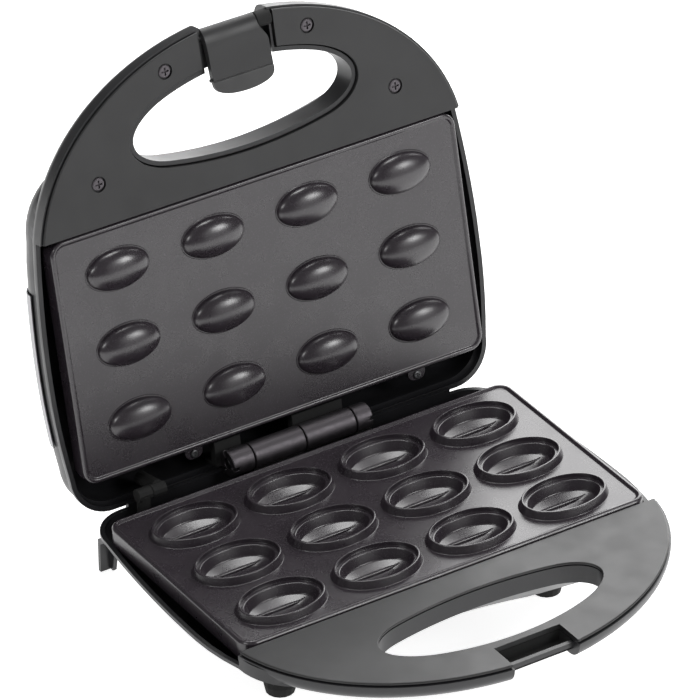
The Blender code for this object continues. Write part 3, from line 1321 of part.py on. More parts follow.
def build():
    black = material("black_plastic", (0.028, 0.028, 0.030), 0.38)
    grey = material("cover_plastic", (0.045, 0.045, 0.048), 0.42)
    coating = material("nonstick_coating", (0.050, 0.047, 0.050), 0.36)
    steel = material("brushed_steel", (0.62, 0.62, 0.63), 0.30, 1.0)
    zinc = material("plated_steel", (0.36, 0.36, 0.37), 0.34, 1.0)
    blackened = material("blackened_steel", (0.05, 0.048, 0.05), 0.45, 0.6)
    rubber = material("foot_rubber", (0.03, 0.03, 0.03), 0.75)
    ceramic = material("ceramic", (0.70, 0.68, 0.62), 0.6)
    red = material("red_lens", (0.55, 0.02, 0.02), 0.2)
    green = material("green_lens", (0.03, 0.38, 0.08), 0.2)
    glass = material("lamp_glass", (0.75, 0.55, 0.35), 0.1)

    base = empty("base_frame", (0.0, -(front_reach_y() + open_reach_y()) / 2, GROUND_H))
    lid = empty("lid_axis", (0.0, 0.0, 0.0), base, -OPEN_ANGLE)
    latch_axis = empty("latch_axis", (0.0, LATCH_Y, LATCH_Z), lid, LATCH_FOLD)

    lower_shell(black, base)
    handle_cover("lower_handle_cover", LOWER, LOWER_COVER_H, grey, base)
    lower_plate(coating, base)
    heating_element("lower_heating_element", LOWER, zinc, base)
    tray("lower_reflector", LOWER, steel, base)
    thermostat("lower_thermostat", LOWER, ceramic, base)
    thermal_fuse(ceramic, base)
    terminal_block(ceramic, base)
    inlet_bushing(black, base)
    hinge_leaf("lower_hinge_leaf", LOWER, LOWER_BARREL_X, RIGHT_KNUCKLE_X, blackened, base)
    hinge_pin(zinc, base)
    front_foot("front_foot_left", -FOOT_X, rubber, base)
    front_foot("front_foot_right", FOOT_X, rubber, base)
    rear_leg("rear_leg_left", -1, black, base)
    rear_leg("rear_leg_right", 1, black, base)
    under = -LOWER.handle
    screws("lower_cover_screw", [(x, y, under) for x, y in screw_places(LOWER)], 1.0, zinc, base)
    lug_top = -(LOWER.face + LUG_DEPTH) + SCREW_HEAD_HEIGHT * SMALL_SCREW_SHARE
    screws("lower_plate_screw", [(x, lug_screw_y(), lug_top) for x in LOWER_LUG_X],
           SMALL_SCREW_SHARE, zinc, base, turn_over=True)
    middle = sum(SLEEVE_X) / 2
    link_sleeve("link_sleeve_lower", LOWER, SLEEVE_X[0], middle - GAP / 2, rubber, base)

    upper_shell(black, lid)
    upper_panel(steel, lid)
    handle_cover("upper_handle_cover", LID, UPPER_COVER_H, grey, lid)
    upper_plate(coating, lid)
    heating_element("upper_heating_element", LID, zinc, lid)
    tray("upper_reflector", LID, steel, lid)
    thermostat("upper_thermostat", LID, ceramic, lid)
    hinge_leaf("upper_hinge_leaf", LID, UPPER_BARREL_X, LEFT_KNUCKLE_X, blackened, lid)
    screws("upper_cover_screw", [(x, y, UPPER_COVER_H) for x, y in screw_places(LID)],
           1.0, blackened, lid)
    lug_low = LID.face + LUG_DEPTH - SCREW_HEAD_HEIGHT * SMALL_SCREW_SHARE
    screws("upper_plate_screw", [(x, lug_screw_y(), lug_low) for x in UPPER_LUG_X],
           SMALL_SCREW_SHARE, zinc, lid)
    link_sleeve("link_sleeve_upper", LID, SLEEVE_X[1], middle + GAP / 2, rubber, lid)
    indicator_lens("power_lens", -LENS_X, red, lid)
    indicator_lens("ready_lens", LENS_X, green, lid)
    indicator_lamp("power_lamp", -LENS_X, glass, lid)
    indicator_lamp("ready_lamp", LENS_X, glass, lid)

    latch_axle(zinc, lid)
    latch(black, latch_axis)


for old in list(bpy.data.objects):
    bpy.data.objects.remove(old)
build()
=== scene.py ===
"""Looks of the walnut cookie mold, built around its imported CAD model."""

import json
from collections import namedtuple
from math import asin, cos, pi, radians, sin, sqrt

import bmesh
import bpy
from mathutils import Matrix, Vector


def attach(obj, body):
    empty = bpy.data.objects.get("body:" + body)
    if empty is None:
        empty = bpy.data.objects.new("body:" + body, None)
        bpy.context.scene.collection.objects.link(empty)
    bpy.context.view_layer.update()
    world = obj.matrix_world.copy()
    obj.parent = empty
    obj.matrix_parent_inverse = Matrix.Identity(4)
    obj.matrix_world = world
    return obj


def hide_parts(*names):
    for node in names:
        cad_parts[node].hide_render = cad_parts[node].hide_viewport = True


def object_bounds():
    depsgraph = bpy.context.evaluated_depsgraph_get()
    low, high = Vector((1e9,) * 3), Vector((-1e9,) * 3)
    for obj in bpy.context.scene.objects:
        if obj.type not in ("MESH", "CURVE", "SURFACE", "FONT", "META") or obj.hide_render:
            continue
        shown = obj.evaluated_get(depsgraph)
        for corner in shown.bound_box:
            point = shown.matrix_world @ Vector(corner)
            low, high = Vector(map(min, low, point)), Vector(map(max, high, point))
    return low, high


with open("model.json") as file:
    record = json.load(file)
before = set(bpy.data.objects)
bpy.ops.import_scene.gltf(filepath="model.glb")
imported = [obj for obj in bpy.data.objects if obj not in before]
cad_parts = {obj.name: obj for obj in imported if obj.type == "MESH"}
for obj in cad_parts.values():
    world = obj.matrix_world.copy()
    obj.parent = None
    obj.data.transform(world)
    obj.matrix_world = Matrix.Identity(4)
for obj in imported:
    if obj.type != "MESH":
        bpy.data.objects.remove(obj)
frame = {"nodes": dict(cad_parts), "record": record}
cad_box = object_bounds()
NODES = frame["nodes"]
MM = 0.001


# Materials.  A noise is given by its scale (repeats per metre), its detail and its roughness, and a
# range is the part of it that is used.

MOULD_CLOUDS = (35.0, 4.0)
MOULD_GLOSS = (90.0, 3.0)
MOULD_GRAIN = (2600.0, 2.0)
MOULD_GRAIN_DEPTH = 0.06 * MM
MOULD_GLOSS_SPREAD = (-0.04, 0.05)
CLOUD_RANGE = (0.35, 0.65)
GLOSS_RANGE = (0.3, 0.7)
COAT_SPECULAR = 0.85
COAT_FLECKS = (1500.0, 2.0, 0.6)
COAT_GLOSS = (60.0, 3.0)
COAT_PEEL = (900.0, 3.0)
COAT_PEEL_DEPTH = 0.1 * MM
COAT_PEEL_STRENGTH = 0.15
COAT_GLOSS_SPREAD = (-0.03, 0.04)
FLECK_RANGE = (0.56, 0.72)
METAL_MARKS = (400.0, 4.0, 0.6)
METAL_MARK_DEPTH = 0.1 * MM
METAL_MARK_STRENGTH = 0.08
METAL_GLOSS_SPREAD = (-0.06, 0.08)
DARK_MARK_SHARE = 0.88


def add(tree, kind, **settings):
    """Shader node with its inputs and properties set by name; in an input's name _ is a space."""
    node = tree.nodes.new(kind)
    for key, value in settings.items():
        socket = key.replace("_", " ")
        if socket in node.inputs:
            node.inputs[socket].default_value = value
        else:
            setattr(node, key, value)
    return node


def node_material(name, colour, roughness, metallic=0.0, specular=0.5):
    mat = bpy.data.materials.new(name)
    mat.use_nodes = True
    tree = mat.node_tree
    shader = tree.nodes["Principled BSDF"]
    shader.inputs["Base Color"].default_value = (*colour, 1.0)
    shader.inputs["Roughness"].default_value = roughness
    shader.inputs["Metallic"].default_value = metallic
    shader.inputs["Specular IOR Level"].default_value = specular
    return mat, tree, shader


def noise(tree, scale, detail, roughness=0.5, stretch=(1.0, 1.0, 1.0)):
    coords = add(tree, "ShaderNodeTexCoord")
    mapping = add(tree, "ShaderNodeMapping", Scale=stretch)
    tex = add(tree, "ShaderNodeTexNoise", Scale=scale, Detail=detail, Roughness=roughness)
    tree.links.new(coords.outputs["Object"], mapping.inputs["Vector"])
    tree.links.new(mapping.outputs["Vector"], tex.inputs["Vector"])
    return tex.outputs["Fac"]


def remap(tree, value, low, high, to_low=0.0, to_high=1.0):
    node = add(tree, "ShaderNodeMapRange", From_Min=low, From_Max=high, To_Min=to_low, To_Max=to_high)
    tree.links.new(value, node.inputs["Value"])
    return node.outputs["Result"]


def mix_colour(tree, factor, first, second):
    node = add(tree, "ShaderNodeMix", data_type="RGBA")
    colours = {"A": first, "B": second}
    for socket in node.inputs:
        if socket.type == "RGBA":
            socket.default_value = (*colours[socket.name], 1.0)
        elif socket.name == "Factor" and socket.type == "VALUE":
            tree.links.new(factor, socket)
    return [s for s in node.outputs if s.type == "RGBA"][0]


def bump(tree, shader, height, strength, distance):
    node = add(tree, "ShaderNodeBump", Strength=strength, Distance=distance)
    tree.links.new(height, node.inputs["Height"])
    tree.links.new(node.outputs["Normal"], shader.inputs["Normal"])


def vary_gloss(tree, shader, value, roughness, spread):
    """Uneven roughness that follows a noise."""
    uneven = remap(tree, value, *GLOSS_RANGE, roughness + spread[0], roughness + spread[1])
    tree.links.new(uneven, shader.inputs["Roughness"])


def moulded(name, colour, roughness, grain=0.12, specular=0.5, spread=0.12):
    """Moulded plastic: a faint cloudy colour, uneven gloss and a spark-eroded grain."""
    mat, tree, shader = node_material(name, colour, roughness, specular=specular)
    low = tuple(c * (1 - spread) for c in colour)
    high = tuple(c * (1 + spread) for c in colour)
    tone = mix_colour(tree, remap(tree, noise(tree, *MOULD_CLOUDS), *CLOUD_RANGE), low, high)
    tree.links.new(tone, shader.inputs["Base Color"])
    vary_gloss(tree, shader, noise(tree, *MOULD_GLOSS), roughness, MOULD_GLOSS_SPREAD)
    bump(tree, shader, noise(tree, *MOULD_GRAIN), grain, MOULD_GRAIN_DEPTH)
    return mat


def coated(name, colour, roughness, fleck):
    """Non-stick coating: a dark film with fine pale flecks and a slight orange peel."""
    mat, tree, shader = node_material(name, colour, roughness, specular=COAT_SPECULAR)
    specks = noise(tree, *COAT_FLECKS)
    tone = mix_colour(tree, remap(tree, specks, *FLECK_RANGE), colour, fleck)
    tree.links.new(tone, shader.inputs["Base Color"])
    vary_gloss(tree, shader, noise(tree, *COAT_GLOSS), roughness, COAT_GLOSS_SPREAD)
    bump(tree, shader, noise(tree, *COAT_PEEL), COAT_PEEL_STRENGTH, COAT_PEEL_DEPTH)
    return mat


def metal(name, colour, roughness, stretch=(1.0, 1.0, 1.0)):
    """Metal with fine brush or tumbling marks along one way."""
    mat, tree, shader = node_material(name, colour, roughness, metallic=1.0)
    marks = noise(tree, *METAL_MARKS, stretch)
    low = tuple(c * DARK_MARK_SHARE for c in colour)
    tree.links.new(mix_colour(tree, marks, low, colour), shader.inputs["Base Color"])
    vary_gloss(tree, shader, marks, roughness, METAL_GLOSS_SPREAD)
    bump(tree, shader, marks, METAL_MARK_STRENGTH, METAL_MARK_DEPTH)
    return mat


# Maker, colour, roughness and what else the maker takes
FINISHES = {
    "black_plastic": (moulded, (0.018, 0.018, 0.020), 0.34),
    "cover_plastic": (moulded, (0.026, 0.026, 0.027), 0.42),
    "nonstick_coating": (coated, (0.027, 0.021, 0.027), 0.27, (0.065, 0.055, 0.067)),
    "brushed_steel": (metal, (0.34, 0.34, 0.35), 0.38, (1.0, 30.0, 30.0)),
    "plated_steel": (metal, (0.16, 0.16, 0.165), 0.36),
    "blackened_steel": (metal, (0.13, 0.12, 0.13), 0.50),
    "foot_rubber": (moulded, (0.020, 0.020, 0.020), 0.75, 0.3, 0.3),
    "ceramic": (moulded, (0.70, 0.68, 0.62), 0.6, 0.2, 0.4, 0.04),
    "red_lens": (moulded, (0.55, 0.02, 0.02), 0.15, 0.02, 0.5, 0.05),
    "green_lens": (moulded, (0.03, 0.38, 0.08), 0.15, 0.02, 0.5, 0.05),
    "lamp_glass": (moulded, (0.75, 0.55, 0.35), 0.10, 0.01, 0.5, 0.05),
}
SLOTS = {name: make(name, *values) for name, (make, *values) in FINISHES.items()}
SLOT_OF = {s["node"]: s["material_slot"] for s in frame["record"]["subparts"]}

for node, obj in NODES.items():
    obj.data.materials.clear()
    obj.data.materials.append(SLOTS[SLOT_OF[node]])


# Sizes, the same as in the CAD source; drawn closed, with the hinge axis as the X axis

GAP = 0.3 * MM
OVERRUN = 2.0 * MM
WALL = 2.2 * MM

# Plan of the two shells
HALF_WIDTH = 113.0 * MM
BACK_Y = 6.0 * MM
JOIN_Y = -125.6 * MM       # where the sides run into the handle, and the covers begin
REAR_RADIUS = 19.0 * MM
HANDLE_CENTRE_Y = -112.2 * MM
HANDLE_STEP = 3.0 * MM     # the handle is narrower than the body at each side
HANDLE_A = HALF_WIDTH - HANDLE_STEP
HANDLE_B = 88.0 * MM
HANDLE_FRONT_Y = HANDLE_CENTRE_Y - HANDLE_B

# Handle opening, the same in both halves
BRIDGE_DEPTH = 15.0 * MM   # from the hot plate's edge to the opening
BAR_WIDTH = 20.8 * MM
OPENING_NEAR_Y = JOIN_Y - BRIDGE_DEPTH
OPENING_ARC_RADIUS = 202.0 * MM
OPENING_SIDE = 53.6 * MM   # solid handle beside the opening
OPENING_END_X = HANDLE_A - OPENING_SIDE
OPENING_ARC_X = OPENING_END_X - 16.5 * MM
OPENING_FAR_X = OPENING_END_X - 18.5 * MM
OPENING_END_DROP = 16.9 * MM
OPENING_END_Y = OPENING_NEAR_Y - OPENING_END_DROP
OPENING_FAR_A = HANDLE_A - 19.0 * MM
OPENING_FAR_B = HANDLE_B - BAR_WIDTH
OPENING_WALL = 2.0 * MM
NEAR_CURVE_SHARE = 0.55
FAR_CURVE_SHARE = 0.5
SEAM = 0.6 * MM            # dark line between a cover and the wall round the opening

# A half of the body.  sign is -1 for the lower half and +1 for the lid, all heights are h.
Half = namedtuple("Half", "sign widest draw step seam rim handle edge tub_top crown side front back "
                          "face bead skirt")
LOWER = Half(
    sign=-1,
    widest=-95.0 * MM,     # y at which the body is widest
    draw=9.0 * MM,         # how far each side draws in at the rear wall
    step=0.4 * MM,         # the tub stands back from the handle's outline
    seam=2.7 * MM,         # top of the handle's outer wall
    rim=8.0 * MM,          # top of the side and rear walls, below the proud plate
    handle=11.5 * MM,      # underside of the handle
    edge=8.0 * MM,         # rounding of the handle's outer edge
    tub_top=9.8 * MM,      # where the belly starts to draw in
    crown=43.0 * MM,       # flat bottom
    side=35.0 * MM,        # how far the belly draws in at the sides
    front=40.0 * MM,
    back=9.0 * MM,
    face=0.67 * MM,        # cooking face of the plate
    bead=-0.33 * MM,       # raised edge of the plate
    skirt=8.7 * MM,        # far edge of the plate's skirt
)
LID = Half(
    sign=1,
    widest=-60.0 * MM,
    draw=6.7 * MM,
    step=1.2 * MM,
    seam=3.9 * MM,
    rim=8.0 * MM,
    handle=16.0 * MM,
    edge=7.0 * MM,
    tub_top=16.0 * MM,
    crown=40.0 * MM,
    side=45.0 * MM,
    front=40.0 * MM,
    back=26.0 * MM,
    face=3.3 * MM,
    bead=2.6 * MM,
    skirt=11.3 * MM,
)
TUB_FRONT_RADIUS = 30.0 * MM
TUB_CROWN_RADIUS = 25.0 * MM
# The belly of the lower shell: rise, side run, front run and back run, as parts of the whole
BELLY_SHARES = ((0.0, 0.0, 0.0, 0.0), (0.50, 0.49, 0.48, 0.04), (0.95, 0.92, 0.92, 0.60),
                (1.0, 1.0, 1.0, 1.0))
LID_SHOULDER_STEPS = 12

# Handle covers
COVER_THICKNESS = 2.5 * MM
COVER_EDGE = 0.7 * MM      # rounding of the cover's outer edge
EDGE_STEP_SHARE = 0.33     # where the middle step of that rounding lies
COVER_INSET = 1.0 * MM     # each cover laps over the wall of the handle
LOWER_COVER_H = 1.0 * MM
UPPER_COVER_H = 2.5 * MM
NOTCH_X = (-16.0 * MM, 17.6 * MM)    # latch notch in the lower handle bar
NOTCH_WALL = 2.0 * MM
NOTCH_BACK_Y = HANDLE_FRONT_Y + 16.8 * MM
LIP_Y = HANDLE_FRONT_Y + 5.6 * MM    # outer face of the lip that the latch hooks under
LIP_WALL = 2.0 * MM
LIP_TOP_H = 3.0 * MM
LIP_BOTTOM_H = 6.2 * MM
HOOK_ROOM = 4.4 * MM       # open space for the hook behind the lip
UPPER_NOTCH_X = (-16.4 * MM, 18.4 * MM)
UPPER_NOTCH_WALL = 1.2 * MM
RECESS_H = 9.0 * MM        # depth of the latch recess in the lid's handle bar
RECESS_EDGE_Y = HANDLE_FRONT_Y + 10.2 * MM   # in front of it the bar is cut right through
DIVIDER = 2.0 * MM         # rib between the hot plate and the hollow handle

# Cooking plates
PLATE_SIDE = 8.0 * MM      # from the widest line of the body to the plate
PLATE_BACK = 16.8 * MM
PLATE_HALF_X = HALF_WIDTH - PLATE_SIDE
PLATE_BACK_Y = BACK_Y - PLATE_BACK
PLATE_FRONT_Y = JOIN_Y + 0.6 * MM
PLATE_RADIUS = 7.0 * MM
PLATE_WALL = 2.0 * MM
PLATE_SKIN = 2.6 * MM
BEAD_WIDTH = 1.8 * MM
COLUMNS = 4
ROWS = 3
NEST_SIDE = 31.5 * MM      # from the plate's edges to the outer nests
NEST_FRONT = 20.35 * MM
NEST_BACK = 23.07 * MM
PITCH_X = 2 * (PLATE_HALF_X - NEST_SIDE) / (COLUMNS - 1)
PITCH_Y = (PLATE_BACK_Y - NEST_BACK - PLATE_FRONT_Y - NEST_FRONT) / (ROWS - 1)
MIDDLE_ROW_Y = (PLATE_BACK_Y - NEST_BACK + PLATE_FRONT_Y + NEST_FRONT) / 2
OVAL_SEGMENTS = 56

# A cavity of the lower plate
NEST_GAP_X = 5.2 * MM      # between the feet of neighbouring rims
NEST_GAP_Y = 5.99 * MM
RIM_FLARE = 1.3 * MM
RIM_A = (PITCH_X - NEST_GAP_X) / 2 - RIM_FLARE
RIM_B = (PITCH_Y - NEST_GAP_Y) / 2 - RIM_FLARE
RIM_RISE = 3.67 * MM
RIM_WIDTH = 1.5 * MM
LEDGE_DROP = 2.2 * MM
LEDGE_WIDTH = 1.2 * MM
BOWL_INSET = 4.7 * MM
BOWL_A = RIM_A - BOWL_INSET
BOWL_B = RIM_B - BOWL_INSET
BOWL_EDGE_DROP = 6.6 * MM  # below the rim
BOWL_DROP = 8.6 * MM
RIDGE_INSET = 2.2 * MM     # from the ends of the bowl
RIDGE_HALF = BOWL_A - RIDGE_INSET
RIDGE_WIDTH = 2.4 * MM
RIDGE_OFFSET = 2.5 * MM
RIDGE_TOP_DROP = 6.7 * MM
CUP_INSET = 1.2 * MM
CUP_DRAFT = 6.0 * MM
CUP_A = RIM_A - CUP_INSET
CUP_B = RIM_B - CUP_INSET
CUP_TIP_A = CUP_A - CUP_DRAFT
CUP_TIP_B = CUP_B - CUP_DRAFT

# A dome of the upper plate
DOME_SPACE_X = 4.8 * MM    # from the rim's crest to the dome that enters it
DOME_SPACE_Y = 4.1 * MM
DOME_A = RIM_A - DOME_SPACE_X
DOME_B = RIM_B - DOME_SPACE_Y
DOME_HEIGHT = 5.6 * MM
DOME_ROLL = 0.7 * MM
DOME_ROLL_RISE = 0.4 * MM

# Lugs that screw the plates down at the rear
LUG_WIDTH = 9.0 * MM
LUG_LENGTH = 6.5 * MM
LUG_THICKNESS = 1.5 * MM
LUG_DEPTH = 4.5 * MM       # below the cooking face
UPPER_LUG_X = (-47.0 * MM, 71.0 * MM)
LOWER_LUG_X = (-66.0 * MM, 71.0 * MM)

# Hinge
BARREL_RADIUS = 6.15 * MM
PIN_RADIUS = 2.2 * MM
LEFT_KNUCKLE_X = (-35.5 * MM, -24.3 * MM)     # lid
LOWER_BARREL_X = (-23.9 * MM, 2.6 * MM)
UPPER_BARREL_X = (3.0 * MM, 29.3 * MM)
RIGHT_KNUCKLE_X = (29.7 * MM, 38.0 * MM)      # lower half
LEAF_THICKNESS = 1.6 * MM
LEAF_FRONT_Y = -9.2 * MM
LEAF_REACH_H = 16.0 * MM
LEAF_CLEAR = 0.5 * MM

# Screws
SCREW_HEAD_RADIUS = 3.0 * MM
SCREW_HEAD_HEIGHT = 1.3 * MM
SCREW_SHANK_RADIUS = 1.5 * MM
SCREW_LENGTH = 9.0 * MM
SCREW_SLOT = 0.8 * MM
SCREW_SLOT_DEPTH = 0.8 * MM
SMALL_SCREW_SHARE = 0.62
BOSS_RADIUS = 3.6 * MM
BAR_SCREW_X = 36.6 * MM
UPPER_SCREW_POINTS = ((HANDLE_A - 33.2 * MM, JOIN_Y - 19.4 * MM),
                      (BAR_SCREW_X, HANDLE_FRONT_Y + 14.8 * MM))
LOWER_SCREW_POINTS = ((HANDLE_A - 41.6 * MM, HANDLE_FRONT_Y + 39.7 * MM),
                      (BAR_SCREW_X, HANDLE_FRONT_Y + 20.0 * MM))

# Latch, drawn with its axle as the X axis and hanging down
LATCH_Y = HANDLE_FRONT_Y + 5.7 * MM
LATCH_Z = 5.0 * MM
LATCH_FOLD = radians(82.6)
LATCH_BARREL_RADIUS = 3.5 * MM
LATCH_HALF = 15.4 * MM     # below the ears
LATCH_THICKNESS = 3.0 * MM
LATCH_REACH = 20.3 * MM
LATCH_TAB = 7.6 * MM
HOOK_TOP = LATCH_Z + LIP_BOTTOM_H + GAP    # below the axle
HOOK_RISE = 2.7 * MM
HOOK_THICKNESS = 1.9 * MM
HOOK_HALF = 14.0 * MM
PEG_RADIUS = 0.8 * MM      # finger pegs at the ends of the crease
PEG_HALF = 16.6 * MM
AXLE_RADIUS = 1.25 * MM

# Inside
TRAY_DEPTH = 4.6 * MM
POST_RADIUS = 4.0 * MM
POST_X = PLATE_HALF_X - 47.0 * MM
POST_FRONT_Y = PLATE_FRONT_Y + 33.0 * MM
POST_BACK_Y = PLATE_BACK_Y - 23.2 * MM
INLET_X = -52.0 * MM
INLET_H = 20.0 * MM
INLET_RADIUS = 5.5 * MM

# Steel panel over the lid, with two indicator lenses
PANEL_FRONT_Y = -100.0 * MM
PANEL_BACK_Y = -28.0 * MM
PANEL_SHEET = 0.6 * MM
PANEL_GAP = 0.45 * MM      # between the bent sheet and the shell under it
LENS_X = 9.0 * MM
LENS_Y = -88.0 * MM
LENS_RADIUS = 3.2 * MM

# Finer forms, which only the scene has
LATCH_TOP_X = 11.4 * MM    # right end of the latch's barrel; its left end is flush with the plate
LATCH_CROWN = 0.4 * MM     # plate over the barrel
LATCH_SWELL = 0.8 * MM     # fullness of the roll
LATCH_HOLLOW = 0.35 * MM
LATCH_CREASE = 0.6 * MM
LATCH_FLARE_TOP = 0.5 * MM
LATCH_FLARE_LOW = 9.0 * MM
EAR_TIP_RADIUS = 3.7 * MM
LATCH_LEFT_X = -15.9 * MM
TAB_LEAN = 0.7 * MM
SLOT_DEPTH = 2.6 * MM      # slots in the outer ends of the end knuckles
SLOT_WIDTH = 1.8 * MM
SLOT_COUNT = 3
SLOT_TURN = radians(75.0)  # of the first slot
SLOT_SHARES = (0.55, 1.2)  # inner and outer reach of a slot, by the barrel's radius
SOFT_SHARE = 0.1           # broken edges of the barrels, by their radius
CHAMFER_SHARE = 0.3        # middle of a barrel's broken edge, by that edge
REAR_RISE = 2.8 * MM       # strip on the lower rear wall beside the hinge, closing the view under the lid
REAR_STUB_RISE = 1.6 * MM  # the short piece of it under the left knuckle
SHELL_EDGE = 0.45 * MM     # bevels of the pieces
LATCH_EDGE = 0.25 * MM
HINGE_EDGE = 0.2 * MM
COVER_RIM_EDGE = 0.12 * MM
PANEL_EDGE = 0.1 * MM
LATCH_BEVEL_ANGLE = 38.0
LATCH_BEVEL_SEGMENTS = 3
PLATE_ROUNDING = 0.5 * MM
CORNER_REACH_SHARE = 0.45  # longest rounding of a corner, by the shorter side beside it
CAVITY_ROUNDING = 0.4 * MM
CREST_SHARE = 0.62         # crest of a cavity's rim, by the rim's width
RIM_FOOT = 0.6 * MM        # flat ring round a rim
BOWL_RUN = 5.0 * MM        # from a bowl's edge to its flat floor
BOWL_RUN_RISE = 0.3 * MM
BOWL_FLAT = 7.0 * MM
BOWL_FLAT_RISE = 0.1 * MM
BOWL_FLAT_SHARE = 0.6
RIDGE_ROOT = 0.6 * MM      # sunk into the floor
RIDGE_SLOPE_SHARE = 0.34   # climb of the floor under a ridge's ends
RIDGE_RISE_SHARE = 0.8
RIDGE_END_SHARE = 0.35     # width at the ends
DOME_FOOT = 0.5 * MM
DOME_ROLL_SHARES = ((1.0, 0.0), (0.7, 0.85), (0.35, 1.0), (0.0, 1.0))   # run and rise of the rolled foot
DOME_POCKET_SHARE = 1 / 3
LUG_CORNER_SHARE = 0.45
HEAD_SHARES = ((0.0, 0.72), (0.12, 0.88), (0.35, 1.0))   # height and radius of a screw's crown
CROSS_ARM_SHARE = 0.6      # arm of the cross recess, by the head's radius
PEG_TIP_SHARE = 0.6
TAB_CURVE_SHARE = 0.6      # fullness of the latch tab's rounded end
TAB_END_SHARE = 0.999
TAB_THICKNESS_SHARE = 0.8

# Placing and shading
FOOT_HEIGHT = 8.4 * MM
GROUND_H = LOWER.crown + GAP + FOOT_HEIGHT
HINGE_Y = 67.548 * MM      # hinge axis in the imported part
OPEN_ANGLE = radians(102.8)
MITRE_LIMIT = 0.5          # keeps the corners of an outline moved outwards from running away
MERGE_DISTANCE = 0.002 * MM
FLAT_ANGLE = radians(0.4)
EDGE_ANGLE = 32.0
NORMAL_WEIGHT = 80

# Steps of the drawn curves and rounds
SEGMENTS = 40
BARREL_SEGMENTS = 48
HEAD_SEGMENTS = 32
WEB_SEGMENTS = 32
AXLE_SEGMENTS = 24
CUP_SEGMENTS = 24
SHANK_SEGMENTS = 20
PEG_SEGMENTS = 16
HANDLE_STEPS = 60
CURVE_STEPS = 12
CORNER_STEPS = 10
SLAB_STEPS = 8
COVER_STEPS = 4
DOME_STEPS = 14
LATCH_STEPS = 14
TAB_STEPS = 20
RIDGE_STEPS = 26
RIDGE_RING_STEPS = 8
PROFILE_STEPS = 3

# Holes of the screws and the front of every cut through the handle bar
HEAD_HOLE = SCREW_HEAD_RADIUS + 2 * GAP
SHANK_HOLE = SCREW_SHANK_RADIUS + GAP
CUT_FRONT_Y = HANDLE_FRONT_Y - OVERRUN


# Mesh helpers

def scratch(bm, name="guide"):
    """A shape that is only used to cut or join another, or a piece still to be placed."""
    bmesh.ops.recalc_face_normals(bm, faces=bm.faces)
    mesh = bpy.data.meshes.new(name)
    bm.to_mesh(mesh)
    bm.free()
    thing = bpy.data.objects.new(name, mesh)
    bpy.context.scene.collection.objects.link(thing)
    return thing


def combine(target, others, operation):
    """Join, cut or intersect an object with others, which are used up."""
    for other in others:
        step = target.modifiers.new(operation, "BOOLEAN")
        step.operation = operation
        step.solver = "EXACT"
        step.object = other
        depsgraph = bpy.context.evaluated_depsgraph_get()
        shaped = bpy.data.meshes.new_from_object(target.evaluated_get(depsgraph))
        target.modifiers.remove(step)
        old = target.data
        target.data = shaped
        bpy.data.meshes.remove(old)
        bpy.data.objects.remove(other)
    return target


def cut(target, *cutters):
    return combine(target, cutters, "DIFFERENCE")


def join(target, *others):
    return combine(target, others, "UNION")


def loop_verts(bm, points, z):
    return [bm.verts.new((x, y, z)) for x, y in points]


def skin(bm, loop_a, loop_b):
    count = len(loop_a)
    for i in range(count):
        j = (i + 1) % count
        bm.faces.new((loop_a[i], loop_a[j], loop_b[j], loop_b[i]))


def skin_all(bm, rings):
    """Skin each pair of neighbouring loops."""
    for ring_a, ring_b in zip(rings, rings[1:]):
        skin(bm, ring_a, ring_b)


def solid(bm, rings):
    """Skin the loops and close both ends."""
    skin_all(bm, rings)
    bm.faces.new(rings[0])
    bm.faces.new(rings[-1])


def loft(levels):
    """Closed solid through outlines of equal count: levels is a list of (points, z)."""
    bm = bmesh.new()
    solid(bm, [loop_verts(bm, points, z) for points, z in levels])
    return scratch(bm)


def fill(bm, loops):
    """Fill the flat area inside the first loop and outside the others."""
    edges = []
    for loop in loops:
        for i, vert in enumerate(loop):
            pair = (vert, loop[(i + 1) % len(loop)])
            edges.append(bm.edges.get(pair) or bm.edges.new(pair))
    bmesh.ops.triangle_fill(bm, use_beauty=True, edges=edges, normal=Vector((0.0, 0.0, 1.0)))


def box(bm, low, high):
    """Box between two corners."""
    size = [b - a for a, b in zip(low, high)]
    centre = [(b + a) / 2 for a, b in zip(low, high)]
    place = Matrix.Translation(centre) @ Matrix.Diagonal((*size, 1.0))
    bmesh.ops.create_cube(bm, size=1.0, matrix=place)


def block(low, high):
    bm = bmesh.new()
    box(bm, low, high)
    return scratch(bm)


def turn(bm, profile, centre, axis, segments, hollow=False):
    """Turned solid from (distance along the axis, radius) points; a hollow profile is a closed loop."""
    frames = {"X": Matrix(((0, 0, 1), (1, 0, 0), (0, 1, 0))).to_4x4(),
              "Y": Matrix(((0, 1, 0), (0, 0, 1), (1, 0, 0))).to_4x4(),
              "Z": Matrix.Identity(4)}
    place = Matrix.Translation(centre) @ frames[axis]
    rings = []
    for along, radius in profile:
        angles = [2 * pi * (i + 0.5) / segments for i in range(segments)]
        rings.append([bm.verts.new(place @ Vector((radius * cos(angle), radius * sin(angle), along)))
                      for angle in angles])
    if hollow:
        skin_all(bm, rings + rings[:1])
    else:
        solid(bm, rings)


def turned(profile, centre, axis, segments=SEGMENTS, hollow=False):
    bm = bmesh.new()
    turn(bm, profile, centre, axis, segments, hollow)
    return scratch(bm)


def bored(shape, centre, low, high, radius, axis="Z", segments=SEGMENTS):
    """Cut a round hole from low to high along an axis through centre."""
    return cut(shape, turned([(low, radius), (high, radius)], centre, axis, segments))


def prism(points, z_low, z_high):
    return loft([(points, z_low), (points, z_high)])


def side_prism(bm, points, x_low, x_high):
    """Solid with a (y, z) outline between two values of x."""
    solid(bm, [[bm.verts.new((x, y, z)) for y, z in points] for x in (x_low, x_high)])


